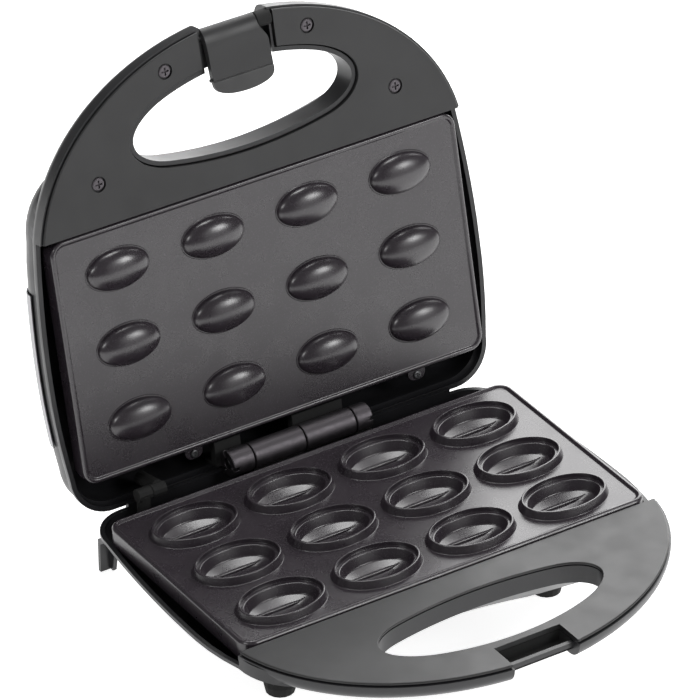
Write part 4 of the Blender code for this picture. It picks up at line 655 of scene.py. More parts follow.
def offset(points, distance):
    """Move a counter-clockwise outline outwards along its normals."""
    moved = []
    count = len(points)
    for i, (x, y) in enumerate(points):
        ax, ay = points[i - 1]
        bx, by = points[(i + 1) % count]
        before = Vector((y - ay, ax - x)).normalized()
        after = Vector((by - y, x - bx)).normalized()
        normal = (before + after).normalized()
        stretch = distance / max(normal.dot(after), MITRE_LIMIT)
        moved.append((x + normal.x * stretch, y + normal.y * stretch))
    return moved


def sweep(start, stop, steps):
    """Evenly spaced values from start to stop."""
    return [start + (stop - start) * i / steps for i in range(steps + 1)]


def oval(centre, a, b, segments):
    return [(centre[0] + a * cos(angle), centre[1] + b * sin(angle))
            for angle in sweep(0.0, 2 * pi, segments)[:-1]]


def arc(centre, radius, start, stop, steps):
    return [(centre[0] + radius * cos(angle), centre[1] + radius * sin(angle))
            for angle in sweep(start, stop, steps)]


def rounded_box(x_half, y_low, y_high, radius):
    """Counter-clockwise rectangle with round corners."""
    points = []
    for number, (side, end) in enumerate(((1, 1), (-1, 1), (-1, 0), (1, 0))):
        centre = (side * (x_half - radius), y_high - radius if end else y_low + radius)
        points += arc(centre, radius, number * pi / 2, (number + 1) * pi / 2, CORNER_STEPS)
    return points


def bezier(corners, steps):
    """Points on a cubic curve with four corners, without its last one."""
    points = []
    for t in sweep(0.0, 1.0, steps)[:-1]:
        u = 1 - t
        weights = (u * u * u, 3 * u * u * t, 3 * u * t * t, t * t * t)
        points.append(tuple(sum(w * p[k] for w, p in zip(weights, corners)) for k in (0, 1)))
    return points


def handle_arc(inset):
    """Elliptical handle outline from the left join to the right join, counter-clockwise."""
    a = HANDLE_A - inset
    b = HANDLE_B - inset
    first = asin((HANDLE_CENTRE_Y - JOIN_Y) / b)
    angles = [first + (pi - 2 * first) * i / HANDLE_STEPS for i in range(HANDLE_STEPS + 1)]
    return [(-a * cos(angle), HANDLE_CENTRE_Y - b * sin(angle)) for angle in angles]


def side_x(half, y, inset):
    """Half width of the bulged body at y."""
    join_x = HANDLE_A * cos(asin((HANDLE_CENTRE_Y - JOIN_Y) / HANDLE_B))
    if y < half.widest:
        draw = (HALF_WIDTH - join_x) * ((half.widest - y) / (half.widest - JOIN_Y)) ** 2
    else:
        draw = half.draw * ((y - half.widest) / (BACK_Y - half.widest)) ** 2
    return HALF_WIDTH - draw - inset


def mirrored(points):
    return [(-x, y) for x, y in reversed(points)]


def right_side(half, front_y, back_y, inset, radius):
    """Right side and rear right corner, from the front to the rear."""
    corner_y = back_y - radius
    corner_x = side_x(half, corner_y, inset) - radius
    side = [(side_x(half, y, inset), y) for y in sweep(front_y, corner_y, CURVE_STEPS)[1:-1]]
    return side + arc((corner_x, corner_y), radius, 0.0, pi / 2, CURVE_STEPS)


def body_outline(half, inset):
    """Plan of a shell: elliptical handle, bulged sides and a straight rear wall."""
    right = right_side(half, JOIN_Y, BACK_Y - inset, inset, REAR_RADIUS - inset)
    return handle_arc(inset) + right + mirrored(right)


def opening_outline(grow=0.0):
    """Plan of the handle opening, counter-clockwise, symmetrical about x = 0."""
    near_y = OPENING_NEAR_Y - OPENING_ARC_X ** 2 / (2 * OPENING_ARC_RADIUS)
    near_slope = OPENING_ARC_X / OPENING_ARC_RADIUS
    far_root = sqrt(1 - (OPENING_FAR_X / OPENING_FAR_A) ** 2)
    far_y = HANDLE_CENTRE_Y - OPENING_FAR_B * far_root
    far_slope = OPENING_FAR_B * OPENING_FAR_X / (OPENING_FAR_A ** 2 * far_root)
    near_handle = NEAR_CURVE_SHARE * (OPENING_END_X - OPENING_ARC_X)
    far_handle = FAR_CURVE_SHARE * (OPENING_END_X - OPENING_FAR_X)
    end_handle = FAR_CURVE_SHARE * (near_y - OPENING_END_Y)
    bar = [(x, HANDLE_CENTRE_Y - OPENING_FAR_B * sqrt(1 - (x / OPENING_FAR_A) ** 2))
           for x in sweep(0.0, OPENING_FAR_X, CURVE_STEPS)[:-1]]
    low_end = bezier(((OPENING_FAR_X, far_y), (OPENING_FAR_X + far_handle, far_y + far_slope * far_handle),
                      (OPENING_END_X, OPENING_END_Y - end_handle), (OPENING_END_X, OPENING_END_Y)),
                     CURVE_STEPS)
    high_end = bezier(((OPENING_END_X, OPENING_END_Y), (OPENING_END_X, OPENING_END_Y + end_handle),
                       (OPENING_ARC_X + near_handle, near_y - near_slope * near_handle),
                       (OPENING_ARC_X, near_y)), CURVE_STEPS)
    near = []
    for i in range(CURVE_STEPS):
        x = OPENING_ARC_X * (1 - i / CURVE_STEPS)
        near.append((x, OPENING_NEAR_Y - x * x / (2 * OPENING_ARC_RADIUS)))
    half = bar + low_end + high_end + near
    whole = half + [(0.0, OPENING_NEAR_Y)] + mirrored(half[1:])
    return offset(whole, grow)


def tub_outline(half, side, front, back, front_radius, back_radius):
    """Plan of the body behind the handle, with a front that follows the opening."""
    def front_y(x):
        return OPENING_NEAR_Y + front - x * x / (2 * OPENING_ARC_RADIUS)

    back_y = BACK_Y - back
    corner_x = side_x(half, JOIN_Y, side) - front_radius
    corner_y = front_y(corner_x) + front_radius
    right = [(x, front_y(x)) for x in sweep(0.0, corner_x, CURVE_STEPS)[:-1]]
    right += arc((corner_x, corner_y), front_radius, -pi / 2, 0.0, CURVE_STEPS)
    right += right_side(half, corner_y, back_y, side, back_radius)
    return right + mirrored(right[1:])


def tub_levels(half):
    """Outline insets of the tub as rows of height, side, front, back and corner shares."""
    if half.sign < 0:
        shares = BELLY_SHARES
    else:
        angles = sweep(0.0, pi / 2, LID_SHOULDER_STEPS)
        shares = [(sin(angle), *[1 - cos(angle)] * 3) for angle in angles]
    return [(half.tub_top + (half.crown - half.tub_top) * up, half.side * side, half.front * front,
             half.back * back, up if half.sign < 0 else side) for up, side, front, back in shares]


def tub_outlines(half, grow, start):
    """Outlines of the tub with their z, from height start to its crown, moved out by grow."""
    levels = []
    rows = tub_levels(half)
    lowest = (start,) + rows[0][1:]
    for h, side, front, back, share in [lowest] + rows:
        front_radius = TUB_FRONT_RADIUS + (TUB_CROWN_RADIUS - TUB_FRONT_RADIUS) * share + grow
        outline = tub_outline(half, half.step + side - grow, half.step + front - grow,
                              half.step + back - grow, front_radius, REAR_RADIUS + grow)
        levels.append((outline, half.sign * (h + grow * share)))
    return levels


def tub(half, grow, start):
    return loft(tub_outlines(half, grow, start))


def slab_levels(half, inset, start, stop):
    """Handle ring's outlines, with a rounded outer edge at the far side."""
    radius = half.edge
    rows = [(start, inset), (half.handle - radius, inset)]
    for angle in sweep(0.0, pi / 2, SLAB_STEPS)[1:]:
        rows.append((half.handle - radius + radius * sin(angle), inset + radius * (1 - cos(angle))))
    scale = (stop - rows[1][0]) / (half.handle - rows[1][0])
    return [(body_outline(half, i), half.sign * (h if n < 1 else rows[1][0] + (h - rows[1][0]) * scale))
            for n, (h, i) in enumerate(rows)]


def slab(half, inset, start, stop):
    return loft(slab_levels(half, inset, start, stop))


def span(half, h_low, h_high):
    """The two z values of a height range, lowest first."""
    return sorted((half.sign * h_low, half.sign * h_high))


def shell_box(half, x_low, x_high, y_low, y_high, h_low, h_high):
    z_low, z_high = span(half, h_low, h_high)
    return block((x_low, y_low, z_low), (x_high, y_high, z_high))


def screw_places(half):
    points = UPPER_SCREW_POINTS if half.sign > 0 else LOWER_SCREW_POINTS
    return [(side * x, y) for x, y in points for side in (-1, 1)]


def cover_back(face_h):
    return face_h + COVER_THICKNESS


def half_shell(half, cover_h):
    """One moulded shell: handle ring and tub, hollow and open towards the plate."""
    outer = join(slab(half, 0.0, half.seam, half.handle), tub(half, 0.0, half.handle - half.edge))
    hollow = cut(slab(half, WALL, -OVERRUN, half.handle - WALL),
                 prism(opening_outline(OPENING_WALL), *span(half, -2 * OVERRUN, half.handle + OVERRUN)))
    hollow = join(hollow, tub(half, -WALL, half.handle - 2 * WALL))
    divider = shell_box(half, -HALF_WIDTH, HALF_WIDTH, JOIN_Y - DIVIDER, JOIN_Y,
                        cover_back(cover_h) + GAP, half.handle + DIVIDER)
    if half.sign < 0:
        keep = shell_box(half, NOTCH_X[0] - NOTCH_WALL, NOTCH_X[1] + NOTCH_WALL, CUT_FRONT_Y,
                         LIP_Y + LIP_WALL, cover_back(cover_h) + GAP, half.handle + OVERRUN)
    else:
        keep = shell_box(half, UPPER_NOTCH_X[0] - UPPER_NOTCH_WALL, UPPER_NOTCH_X[1] + UPPER_NOTCH_WALL,
                         CUT_FRONT_Y, OPENING_NEAR_Y, -2 * OVERRUN, half.handle + OVERRUN)
    hollow = cut(hollow, divider, keep)
    post_h = half.skirt + GAP + TRAY_DEPTH + GAP
    for x, y in post_places():
        hollow = bored(hollow, (x, y, 0.0), *span(half, post_h, half.crown), POST_RADIUS)
    if half.sign > 0:
        foot = cover_back(cover_h) + GAP
        for x, y in screw_places(half):
            hollow = bored(hollow, (x, y, 0.0), foot, half.crown, BOSS_RADIUS)
    shell = cut(outer, hollow, prism(opening_outline(), *span(half, 0.0, half.crown)),
                shell_box(half, -2 * HALF_WIDTH, 2 * HALF_WIDTH, JOIN_Y, 2 * REAR_RADIUS, 0.0, half.rim))
    for x, y in screw_places(half):
        if half.sign < 0:
            low, high = -half.handle - OVERRUN, -half.handle + WALL + OVERRUN
            shell = bored(shell, (x, y, 0.0), low, -half.handle + SCREW_HEAD_HEIGHT, HEAD_HOLE)
        else:
            low, high = foot - OVERRUN, foot + SCREW_LENGTH
        shell = bored(shell, (x, y, 0.0), low, high, SHANK_HOLE)
    return shell


def post_places():
    return [(side * POST_X, y) for y in (POST_FRONT_Y, POST_BACK_Y) for side in (-1, 1)]


def centres():
    """Centres of the twelve nests, row by row."""
    return [((column - (COLUMNS - 1) / 2) * PITCH_X, MIDDLE_ROW_Y + ((ROWS - 1) / 2 - row) * PITCH_Y)
            for row in range(ROWS) for column in range(COLUMNS)]


def lug_screw_y():
    return PLATE_BACK_Y + LUG_LENGTH / 2 + PLATE_WALL / 2


# Placing and finishing

BASE_PLACE = Matrix.Translation(Vector((0.0, HINGE_Y, GROUND_H)))
LID_PLACE = BASE_PLACE @ Matrix.Rotation(-OPEN_ANGLE, 4, "X")
LATCH_PLACE = LID_PLACE @ Matrix.Translation((0.0, LATCH_Y, LATCH_Z)) @ Matrix.Rotation(LATCH_FOLD, 4, "X")
PLACES = {"base": BASE_PLACE, "lid": LID_PLACE, "latch_arm": LATCH_PLACE}


def clamp_to_cad(obj):
    """Keep the finer curves inside the CAD model's box."""
    low, high = cad_box
    for vert in obj.data.vertices:
        for axis in range(3):
            vert.co[axis] = min(max(vert.co[axis], low[axis]), high[axis])


def place(obj, name, body, slot, soften=0.0, segments=2, angle=EDGE_ANGLE, stands_for=None, even=True):
    """Bring a drawn piece to its place on a body, round its edges and give it its finish."""
    obj.name = name
    obj.data.name = name
    obj.data.transform(PLACES[body])
    clamp_to_cad(obj)
    bm = bmesh.new()
    bm.from_mesh(obj.data)
    bmesh.ops.remove_doubles(bm, verts=bm.verts, dist=MERGE_DISTANCE)
    bmesh.ops.dissolve_limit(bm, angle_limit=FLAT_ANGLE, verts=bm.verts, edges=bm.edges)
    bmesh.ops.recalc_face_normals(bm, faces=bm.faces)
    bm.to_mesh(obj.data)
    bm.free()
    obj.data.materials.clear()
    obj.data.materials.append(SLOTS[slot])
    obj.data.shade_smooth()
    if soften:
        bevel = obj.modifiers.new("edges", "BEVEL")
        bevel.width = soften
        bevel.segments = segments
        bevel.limit_method = "ANGLE"
        bevel.angle_limit = radians(angle)
        bevel.harden_normals = True
        bevel.use_clamp_overlap = True
    else:
        obj.data.set_sharp_from_angle(angle=radians(angle))
    if even:
        weighted = obj.modifiers.new("normals", "WEIGHTED_NORMAL")
        weighted.keep_sharp = True
        weighted.weight = NORMAL_WEIGHT
    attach(obj, body)
    if stands_for:
        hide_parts(*stands_for)


# Shells

def lower_shell():
    shell = half_shell(LOWER, LOWER_COVER_H)
    low_x, high_x = NOTCH_X
    behind_y = LIP_Y + LIP_WALL + GAP
    for y, h_low, h_high in ((LIP_Y, 0.0, LOWER.handle + OVERRUN), (behind_y, 0.0, LIP_TOP_H),
                             (LIP_Y + LIP_WALL + HOOK_ROOM, LIP_BOTTOM_H, LOWER.handle + OVERRUN)):
        shell = cut(shell, shell_box(LOWER, low_x, high_x, CUT_FRONT_Y, y, h_low, h_high))
    shell = bored(shell, (INLET_X, 0.0, -INLET_H), BACK_Y - LOWER.back - 2 * WALL - LOWER.step,
                  BACK_Y + OVERRUN, INLET_RADIUS + GAP, "Y")
    wall_y = BACK_Y - LOWER.step
    corner_x = HALF_WIDTH - LOWER.draw - REAR_RADIUS
    left_x = LEFT_KNUCKLE_X[0]
    for x_low, x_high, rise in ((-corner_x, left_x - GAP, REAR_RISE),
                                (RIGHT_KNUCKLE_X[1] + GAP, corner_x, REAR_RISE),
                                (left_x - WALL, left_x + WALL, REAR_STUB_RISE)):
        shell = join(shell, shell_box(LOWER, x_low, x_high, wall_y - WALL, wall_y, LOWER.rim - rise,
                                      LOWER.rim + WALL))
    place(shell, "base_shell", "base", "black_plastic", SHELL_EDGE, stands_for=["lower_shell"])


def lens_holes(shape):
    for side in (-1, 1):
        shape = bored(shape, (side * LENS_X, LENS_Y, 0.0), LID.crown - 2 * WALL, LID.crown + OVERRUN,
                      LENS_RADIUS + GAP)
    return shape


def upper_shell():
    shell = half_shell(LID, UPPER_COVER_H)
    low_x, high_x = UPPER_NOTCH_X
    shell = cut(shell, shell_box(LID, low_x, high_x, CUT_FRONT_Y, OPENING_END_Y, 0.0, RECESS_H))
    shell = cut(shell, shell_box(LID, low_x, high_x, CUT_FRONT_Y, RECESS_EDGE_Y, 0.0, LID.handle + OVERRUN))
    root = UPPER_NOTCH_WALL / 2
    ear = turned([(LATCH_TOP_X + GAP, EAR_TIP_RADIUS - GAP), (LATCH_TOP_X + 2 * GAP, EAR_TIP_RADIUS),
                  (high_x + root, EAR_TIP_RADIUS)], (0.0, LATCH_Y, LATCH_Z), "X")
    place(ear, "latch_ear", "lid", "foot_rubber", HINGE_EDGE)
    reach = UPPER_NOTCH_WALL + OVERRUN
    shell = bored(shell, (0.0, LATCH_Y, LATCH_Z), low_x - reach, high_x + reach, AXLE_RADIUS + GAP, "X",
                  AXLE_SEGMENTS)
    place(lens_holes(shell), "lid_shell", "lid", "black_plastic", SHELL_EDGE, stands_for=["upper_shell"])


def lid_panel():
    """Steel sheet bent over the lid from side to side, with holes for the two lenses."""
    sheet = tub(LID, PANEL_GAP + PANEL_SHEET, LID.tub_top - LID.edge)
    inner = tub(LID, PANEL_GAP, LID.tub_top - LID.edge - OVERRUN)
    zone = block((-2 * HALF_WIDTH, PANEL_FRONT_Y, LID.tub_top),
                 (2 * HALF_WIDTH, PANEL_BACK_Y, LID.crown + OVERRUN))
    sheet = lens_holes(cut(combine(sheet, [zone], "INTERSECT"), inner))
    place(sheet, "lid_panel", "lid", "brushed_steel", PANEL_EDGE, stands_for=["upper_panel"])


def handle_cover(name, half, face_h, body, node):
    """Flat cover over the hollow handle, with a rounded outer edge."""
    sign = half.sign
    back = cover_back(face_h)
    seat = WALL + GAP
    steps = []
    for angle in sweep(0.0, pi / 2, COVER_STEPS):
        steps.append((COVER_INSET + COVER_EDGE * (1 - sin(angle)), face_h + COVER_EDGE * (1 - cos(angle))))
    steps += [(COVER_INSET, half.seam - 2 * GAP), (seat, half.seam - GAP), (seat, back)]
    hole_grow = OPENING_WALL + SEAM
    edge = COVER_EDGE * EDGE_STEP_SHARE
    hole_steps = ((hole_grow + edge, face_h), (hole_grow, face_h + edge), (hole_grow, back))
    if sign < 0:
        hole_steps = ((2 * edge, face_h), (edge, face_h + edge / 2), (0.0, face_h + 2 * edge),
                      (0.0, half.seam - 2 * GAP), (hole_grow, half.seam - GAP), (hole_grow, back))
    bm = bmesh.new()
    rings = [loop_verts(bm, handle_arc(inset), sign * h) for inset, h in steps]
    holes = [loop_verts(bm, opening_outline(grow), sign * h) for grow, h in hole_steps]
    skin_all(bm, rings)
    skin_all(bm, holes)
    fill(bm, [rings[0], holes[0]])
    fill(bm, [rings[-1], holes[-1]])
    cover = scratch(bm)
    if sign < 0:
        (low_x, high_x), back_y, clear = NOTCH_X, NOTCH_BACK_Y, 0.0
    else:
        (low_x, high_x), back_y, clear = UPPER_NOTCH_X, OPENING_END_Y, UPPER_NOTCH_WALL + SEAM
    cover = cut(cover, shell_box(half, low_x - clear, high_x + clear, CUT_FRONT_Y, back_y,
                                 face_h - OVERRUN, back + OVERRUN))
    if sign > 0:
        for x, y in screw_places(half):
            cover = bored(cover, (x, y, 0.0), face_h - OVERRUN, face_h + SCREW_HEAD_HEIGHT, HEAD_HOLE)
            cover = bored(cover, (x, y, 0.0), face_h, back + OVERRUN, SHANK_HOLE)
    place(cover, name, body, "cover_plastic", COVER_RIM_EDGE, stands_for=[node])


# Cooking plates

def rounded_profile(corners, radius):
    """Points of a profile whose inner corners are rounded; the ends stay."""
    points = [corners[0]]
    for before, corner, after in zip(corners, corners[1:], corners[2:]):
        here = Vector(corner)
        to_a = Vector(before) - here
        to_b = Vector(after) - here
        reach = min(radius, to_a.length * CORNER_REACH_SHARE, to_b.length * CORNER_REACH_SHARE)
        start = here + to_a.normalized() * reach
        stop = here + to_b.normalized() * reach
        for t in sweep(0.0, 1.0, PROFILE_STEPS):
            points.append(tuple((1 - t) ** 2 * start + 2 * t * (1 - t) * here + t * t * stop))
    points.append(corners[-1])
    return points


def plate_edge(bm, half):
    """Bead, skirt and underside of a plate; returns the loops round its face and its back."""
    sign = half.sign
    step = half.face - half.bead
    corners = [(BEAD_WIDTH + 2 * step, half.face), (BEAD_WIDTH + step, half.face), (BEAD_WIDTH, half.bead),
               (step, half.bead), (0.0, half.face), (0.0, half.skirt), (PLATE_WALL, half.skirt),
               (PLATE_WALL, half.face + PLATE_SKIN)]
    rings = []
    for inset, h in rounded_profile(corners, PLATE_ROUNDING):
        outline = rounded_box(PLATE_HALF_X - inset, PLATE_FRONT_Y + inset, PLATE_BACK_Y - inset,
                              PLATE_RADIUS - inset)
        rings.append(loop_verts(bm, outline, sign * h))
    skin_all(bm, rings)
    return rings[0], rings[-1]


def oval_stack(bm, centre, rows, segments):
    """Skin through ovals (a, b, z); the last one closes on a point at its centre."""
    rings = [loop_verts(bm, oval(centre, a, b, segments), z) for a, b, z in rows[:-1]]
    skin_all(bm, rings)
    tip = bm.verts.new((centre[0], centre[1], rows[-1][2]))
    last = rings[-1]
    for i in range(segments):
        bm.faces.new((last[i], last[(i + 1) % segments], tip))
    return rings[0]


def cavity_rows():
    """Profile of one cavity, from the foot of its rim to the middle of its bowl."""
    face = -LOWER.face
    top = face + RIM_RISE
    ledge = top - LEDGE_DROP
    inner = RIM_WIDTH + LEDGE_WIDTH
    crest = RIM_WIDTH * CREST_SHARE
    floor = top - BOWL_DROP
    corners = [(-RIM_FLARE - RIM_FOOT, face), (-RIM_FLARE, face), (0.0, top), (crest, top), (crest, ledge),
               (inner, ledge), (BOWL_INSET, top - BOWL_EDGE_DROP),
               (BOWL_INSET + BOWL_RUN, floor + BOWL_RUN_RISE)]
    rows = [(RIM_A - inset, RIM_B - inset, z) for inset, z in rounded_profile(corners, CAVITY_ROUNDING)]
    rows.append((BOWL_A - BOWL_FLAT, (BOWL_B - BOWL_RUN) * BOWL_FLAT_SHARE, floor + BOWL_FLAT_RISE))
    rows.append((0.0, 0.0, floor))
    return rows


def ridges():
    """The creases in the floors of the cavities: slender rounded spindles along x."""
    crest = -LOWER.face + RIM_RISE
    flat = BOWL_A - BOWL_RUN
    bm = bmesh.new()
    for cx, cy in centres():
        y = cy + RIDGE_OFFSET
        rings = []
        for along in sweep(0.0, pi, RIDGE_STEPS)[1:-1]:
            share = -cos(along)
            x = cx + RIDGE_HALF * share
            swell = sqrt(1 - share * share)
            floor = crest - BOWL_DROP + max(abs(x - cx) - flat, 0.0) * RIDGE_SLOPE_SHARE
            foot = floor - RIDGE_ROOT
            rise = (BOWL_DROP - RIDGE_TOP_DROP) * RIDGE_RISE_SHARE * swell ** 0.5 + RIDGE_ROOT
            wide = RIDGE_WIDTH / 2 * (RIDGE_END_SHARE + (1 - RIDGE_END_SHARE) * swell)
            rings.append([bm.verts.new((x, y + wide * cos(angle), foot + rise * sin(angle)))
                          for angle in sweep(0.0, pi, RIDGE_RING_STEPS)])
        solid(bm, rings)
    place(scratch(bm), "cavity_ridges", "base", "nonstick_coating", even=False)


def lug(half, x):
    """Rear tab of a plate, with round corners."""
    h = half.face + LUG_DEPTH
    z_low, z_high = span(half, h, h + LUG_THICKNESS)
    low_y = PLATE_BACK_Y - PLATE_WALL / 2
    high_y = PLATE_BACK_Y + LUG_LENGTH
    outline = rounded_box(LUG_WIDTH / 2, low_y, high_y, (high_y - low_y) * LUG_CORNER_SHARE)
    return prism([(px + x, py) for px, py in outline], z_low, z_high)


def cup_rows():
    """Outside of one cavity on the plate's back, closed below."""
    tip = LOWER.skirt - GAP - PLATE_WALL / 4
    return [(CUP_A, CUP_B, -LOWER.face - PLATE_SKIN), (CUP_TIP_A, CUP_TIP_B, -tip), (0.0, 0.0, -tip)]


def dome_rows():
    """Profile of one dome, from its rolled foot to its tip."""
    face = LID.face
    foot = face - DOME_ROLL_RISE
    rows = [(DOME_A + DOME_ROLL + DOME_FOOT, DOME_B + DOME_ROLL + DOME_FOOT, face)]
    for run, rise in DOME_ROLL_SHARES:
        rows.append((DOME_A + DOME_ROLL * run, DOME_B + DOME_ROLL * run, face - DOME_ROLL_RISE * rise))
    for angle in sweep(0.0, pi / 2, DOME_STEPS)[1:-1]:
        rows.append((DOME_A * cos(angle), DOME_B * cos(angle), foot - DOME_HEIGHT * sin(angle)))
    rows.append((0.0, 0.0, foot - DOME_HEIGHT))
    return rows


def pocket_rows():
    """Hollow behind one dome."""
    return [(DOME_A - PLATE_WALL, DOME_B - PLATE_WALL, LID.face + PLATE_SKIN),
            (0.0, 0.0, LID.face - DOME_HEIGHT * DOME_POCKET_SHARE)]


def cooking_plate(name, half, face_rows, back_rows, lug_places, body, node):
    """Plate with its nests and with rear tabs, bored for their screws."""
    bm = bmesh.new()
    face, back = plate_edge(bm, half)
    nests = [oval_stack(bm, c, face_rows, OVAL_SEGMENTS) for c in centres()]
    hollows = [oval_stack(bm, c, back_rows, CUP_SEGMENTS) for c in centres()]
    fill(bm, [face] + nests)
    fill(bm, [back] + hollows)
    plate = scratch(bm)
    h = half.face + LUG_DEPTH
    low = half.sign * (h - OVERRUN / 2)
    high = half.sign * (h + LUG_THICKNESS + OVERRUN / 2)
    for x in lug_places:
        plate = bored(join(plate, lug(half, x)), (x, lug_screw_y(), 0.0), low, high,
                      SCREW_SHANK_RADIUS * SMALL_SCREW_SHARE + GAP, "Z", SHANK_SEGMENTS)
    place(plate, name, body, "nonstick_coating", stands_for=[node])


# Hinge

def knuckle(x_range, bore):
    """Barrel of the hinge, with rounded ends."""
    low, high = x_range
    soft = BARREL_RADIUS * SOFT_SHARE
    middle = soft * CHAMFER_SHARE
    profile = [(low, bore), (low, BARREL_RADIUS - soft), (low + middle, BARREL_RADIUS - middle),
               (low + soft, BARREL_RADIUS), (high - soft, BARREL_RADIUS),
               (high - middle, BARREL_RADIUS - middle), (high, BARREL_RADIUS - soft), (high, bore)]
    return turned(profile, (0.0, 0.0, 0.0), "X", BARREL_SEGMENTS, hollow=True)


def hinge_leaf(name, half, long_barrel, end_knuckle, body, node):
    """Leaf of the hinge: a barrel, an end knuckle, their ledges and the web inside the rear wall."""
    bore = PIN_RADIUS + GAP
    leaf = join(knuckle(long_barrel, bore), knuckle(end_knuckle, bore))
    ledge = BARREL_RADIUS - LEAF_THICKNESS / 2
    wall_y = BACK_Y - half.step - WALL - GAP
    clear_h = BARREL_RADIUS + LEAF_CLEAR
    x_low = min(long_barrel[0], end_knuckle[0])
    x_high = max(long_barrel[1], end_knuckle[1])
    if half.sign > 0:
        x_low -= WALL
    web = shell_box(half, x_low, x_high, wall_y - LEAF_THICKNESS, wall_y,
                    clear_h + LEAF_THICKNESS, LEAF_REACH_H)
    for low, high in (long_barrel, end_knuckle):
        if half.sign > 0 and low == end_knuckle[0]:
            low = x_low
        web = join(web, shell_box(half, low, high, LEAF_FRONT_Y, wall_y,
                                  ledge, clear_h + 2 * LEAF_THICKNESS))
    web = bored(web, (0.0, 0.0, 0.0), x_low - OVERRUN, x_high + OVERRUN, BARREL_RADIUS - GAP, "X",
                WEB_SEGMENTS)
    end_x = end_knuckle[0] if half.sign > 0 else end_knuckle[1]
    inner, outer = (BARREL_RADIUS * share for share in SLOT_SHARES)
    for step in range(SLOT_COUNT):
        slot = block((end_x - SLOT_DEPTH, -SLOT_WIDTH / 2, inner),
                     (end_x + SLOT_DEPTH, SLOT_WIDTH / 2, outer))
        slot.data.transform(Matrix.Rotation(2 * pi / SLOT_COUNT * step + SLOT_TURN, 4, "X"))
        leaf = cut(leaf, slot)
    place(leaf, name, body, "blackened_steel", HINGE_EDGE, stands_for=[node])
    place(web, name + "_web", body, "foot_rubber")


# Screws

def screw_head(scale, x, y, top, sign):
    """Pan head with a cross recess; its outer face lies at z = top and looks towards -sign z."""
    radius = SCREW_HEAD_RADIUS * scale
    height = SCREW_HEAD_HEIGHT * scale
    profile = [(height * up, radius * out) for up, out in HEAD_SHARES] + [(height - GAP, radius)]
    head = turned(profile, (0.0, 0.0, 0.0), "Z", HEAD_SEGMENTS)
    shank_radius = SCREW_SHANK_RADIUS * scale
    shank = turned([(height / 2, shank_radius), (SCREW_LENGTH * scale, shank_radius)], (0.0, 0.0, 0.0), "Z",
                   SHANK_SEGMENTS)
    arm = radius * CROSS_ARM_SHARE
    half_slot = SCREW_SLOT * scale / 2
    depth = SCREW_SLOT_DEPTH * scale
    cross = join(block((-arm, -half_slot, -depth), (arm, half_slot, depth)),
                 block((-half_slot, -arm, -depth), (half_slot, arm, depth)))
    screw = cut(join(head, shank), cross)
    if sign < 0:
        screw.data.transform(Matrix.Rotation(pi, 4, "X"))
    screw.data.transform(Matrix.Translation((x, y, top)))
    return screw


# Latch

def latch_rows():
    """Rows of the latch plate from its top over the barrel to the finger tab's tip:
    outer y, inner y, z, left x and right x."""
    rows = []
    top_z = LATCH_BARREL_RADIUS + LATCH_CROWN
    back = -LATCH_BARREL_RADIUS + LATCH_THICKNESS
    for angle in sweep(0.0, pi / 2, LATCH_STEPS):
        y = -(LATCH_BARREL_RADIUS + LATCH_SWELL) * sin(angle)
        z = -LATCH_BARREL_RADIUS + (top_z + LATCH_BARREL_RADIUS) * cos(angle)
        inner = min(y + LATCH_THICKNESS * sin(angle) + LATCH_CROWN * cos(angle), 0.0)
        rows.append((y, inner, z))
    low_z = -LATCH_REACH + LATCH_CREASE
    start_z = -LATCH_BARREL_RADIUS
    for share in sweep(0.0, 1.0, LATCH_STEPS)[1:]:
        hollow = LATCH_HOLLOW * sin(pi * share)
        y = -LATCH_BARREL_RADIUS - LATCH_SWELL * (1 - share) + hollow
        rows.append((y, back, start_z + (low_z - start_z) * share))
    rows.append((-LATCH_BARREL_RADIUS - LATCH_CREASE / 2, back, low_z - LATCH_CREASE / 3))
    rows.append((-LATCH_BARREL_RADIUS + LATCH_CREASE / 2, back, -LATCH_REACH))
    outline = []
    for y, inner, z in rows:
        share = min(max((-z - LATCH_FLARE_TOP) / (LATCH_FLARE_LOW - LATCH_FLARE_TOP), 0.0), 1.0)
        ease = share * share * (3 - 2 * share)
        outline.append((y, inner, z, LATCH_LEFT_X + (-LATCH_HALF - LATCH_LEFT_X) * ease,
                        LATCH_TOP_X + (LATCH_HALF - LATCH_TOP_X) * ease))
    for share in [sin(angle) for angle in sweep(0.0, pi / 2, TAB_STEPS)[1:-1]] + [TAB_END_SHARE]:
        drop = LATCH_TAB * share
        half = LATCH_HALF * sqrt(1 - (drop / LATCH_TAB) ** (2 / TAB_CURVE_SHARE))
        lean = TAB_LEAN * drop / LATCH_TAB
        outline.append((-LATCH_BARREL_RADIUS - lean,
                        -LATCH_BARREL_RADIUS + LATCH_THICKNESS * TAB_THICKNESS_SHARE - lean,
                        -LATCH_REACH - drop, -half, half))
    return outline


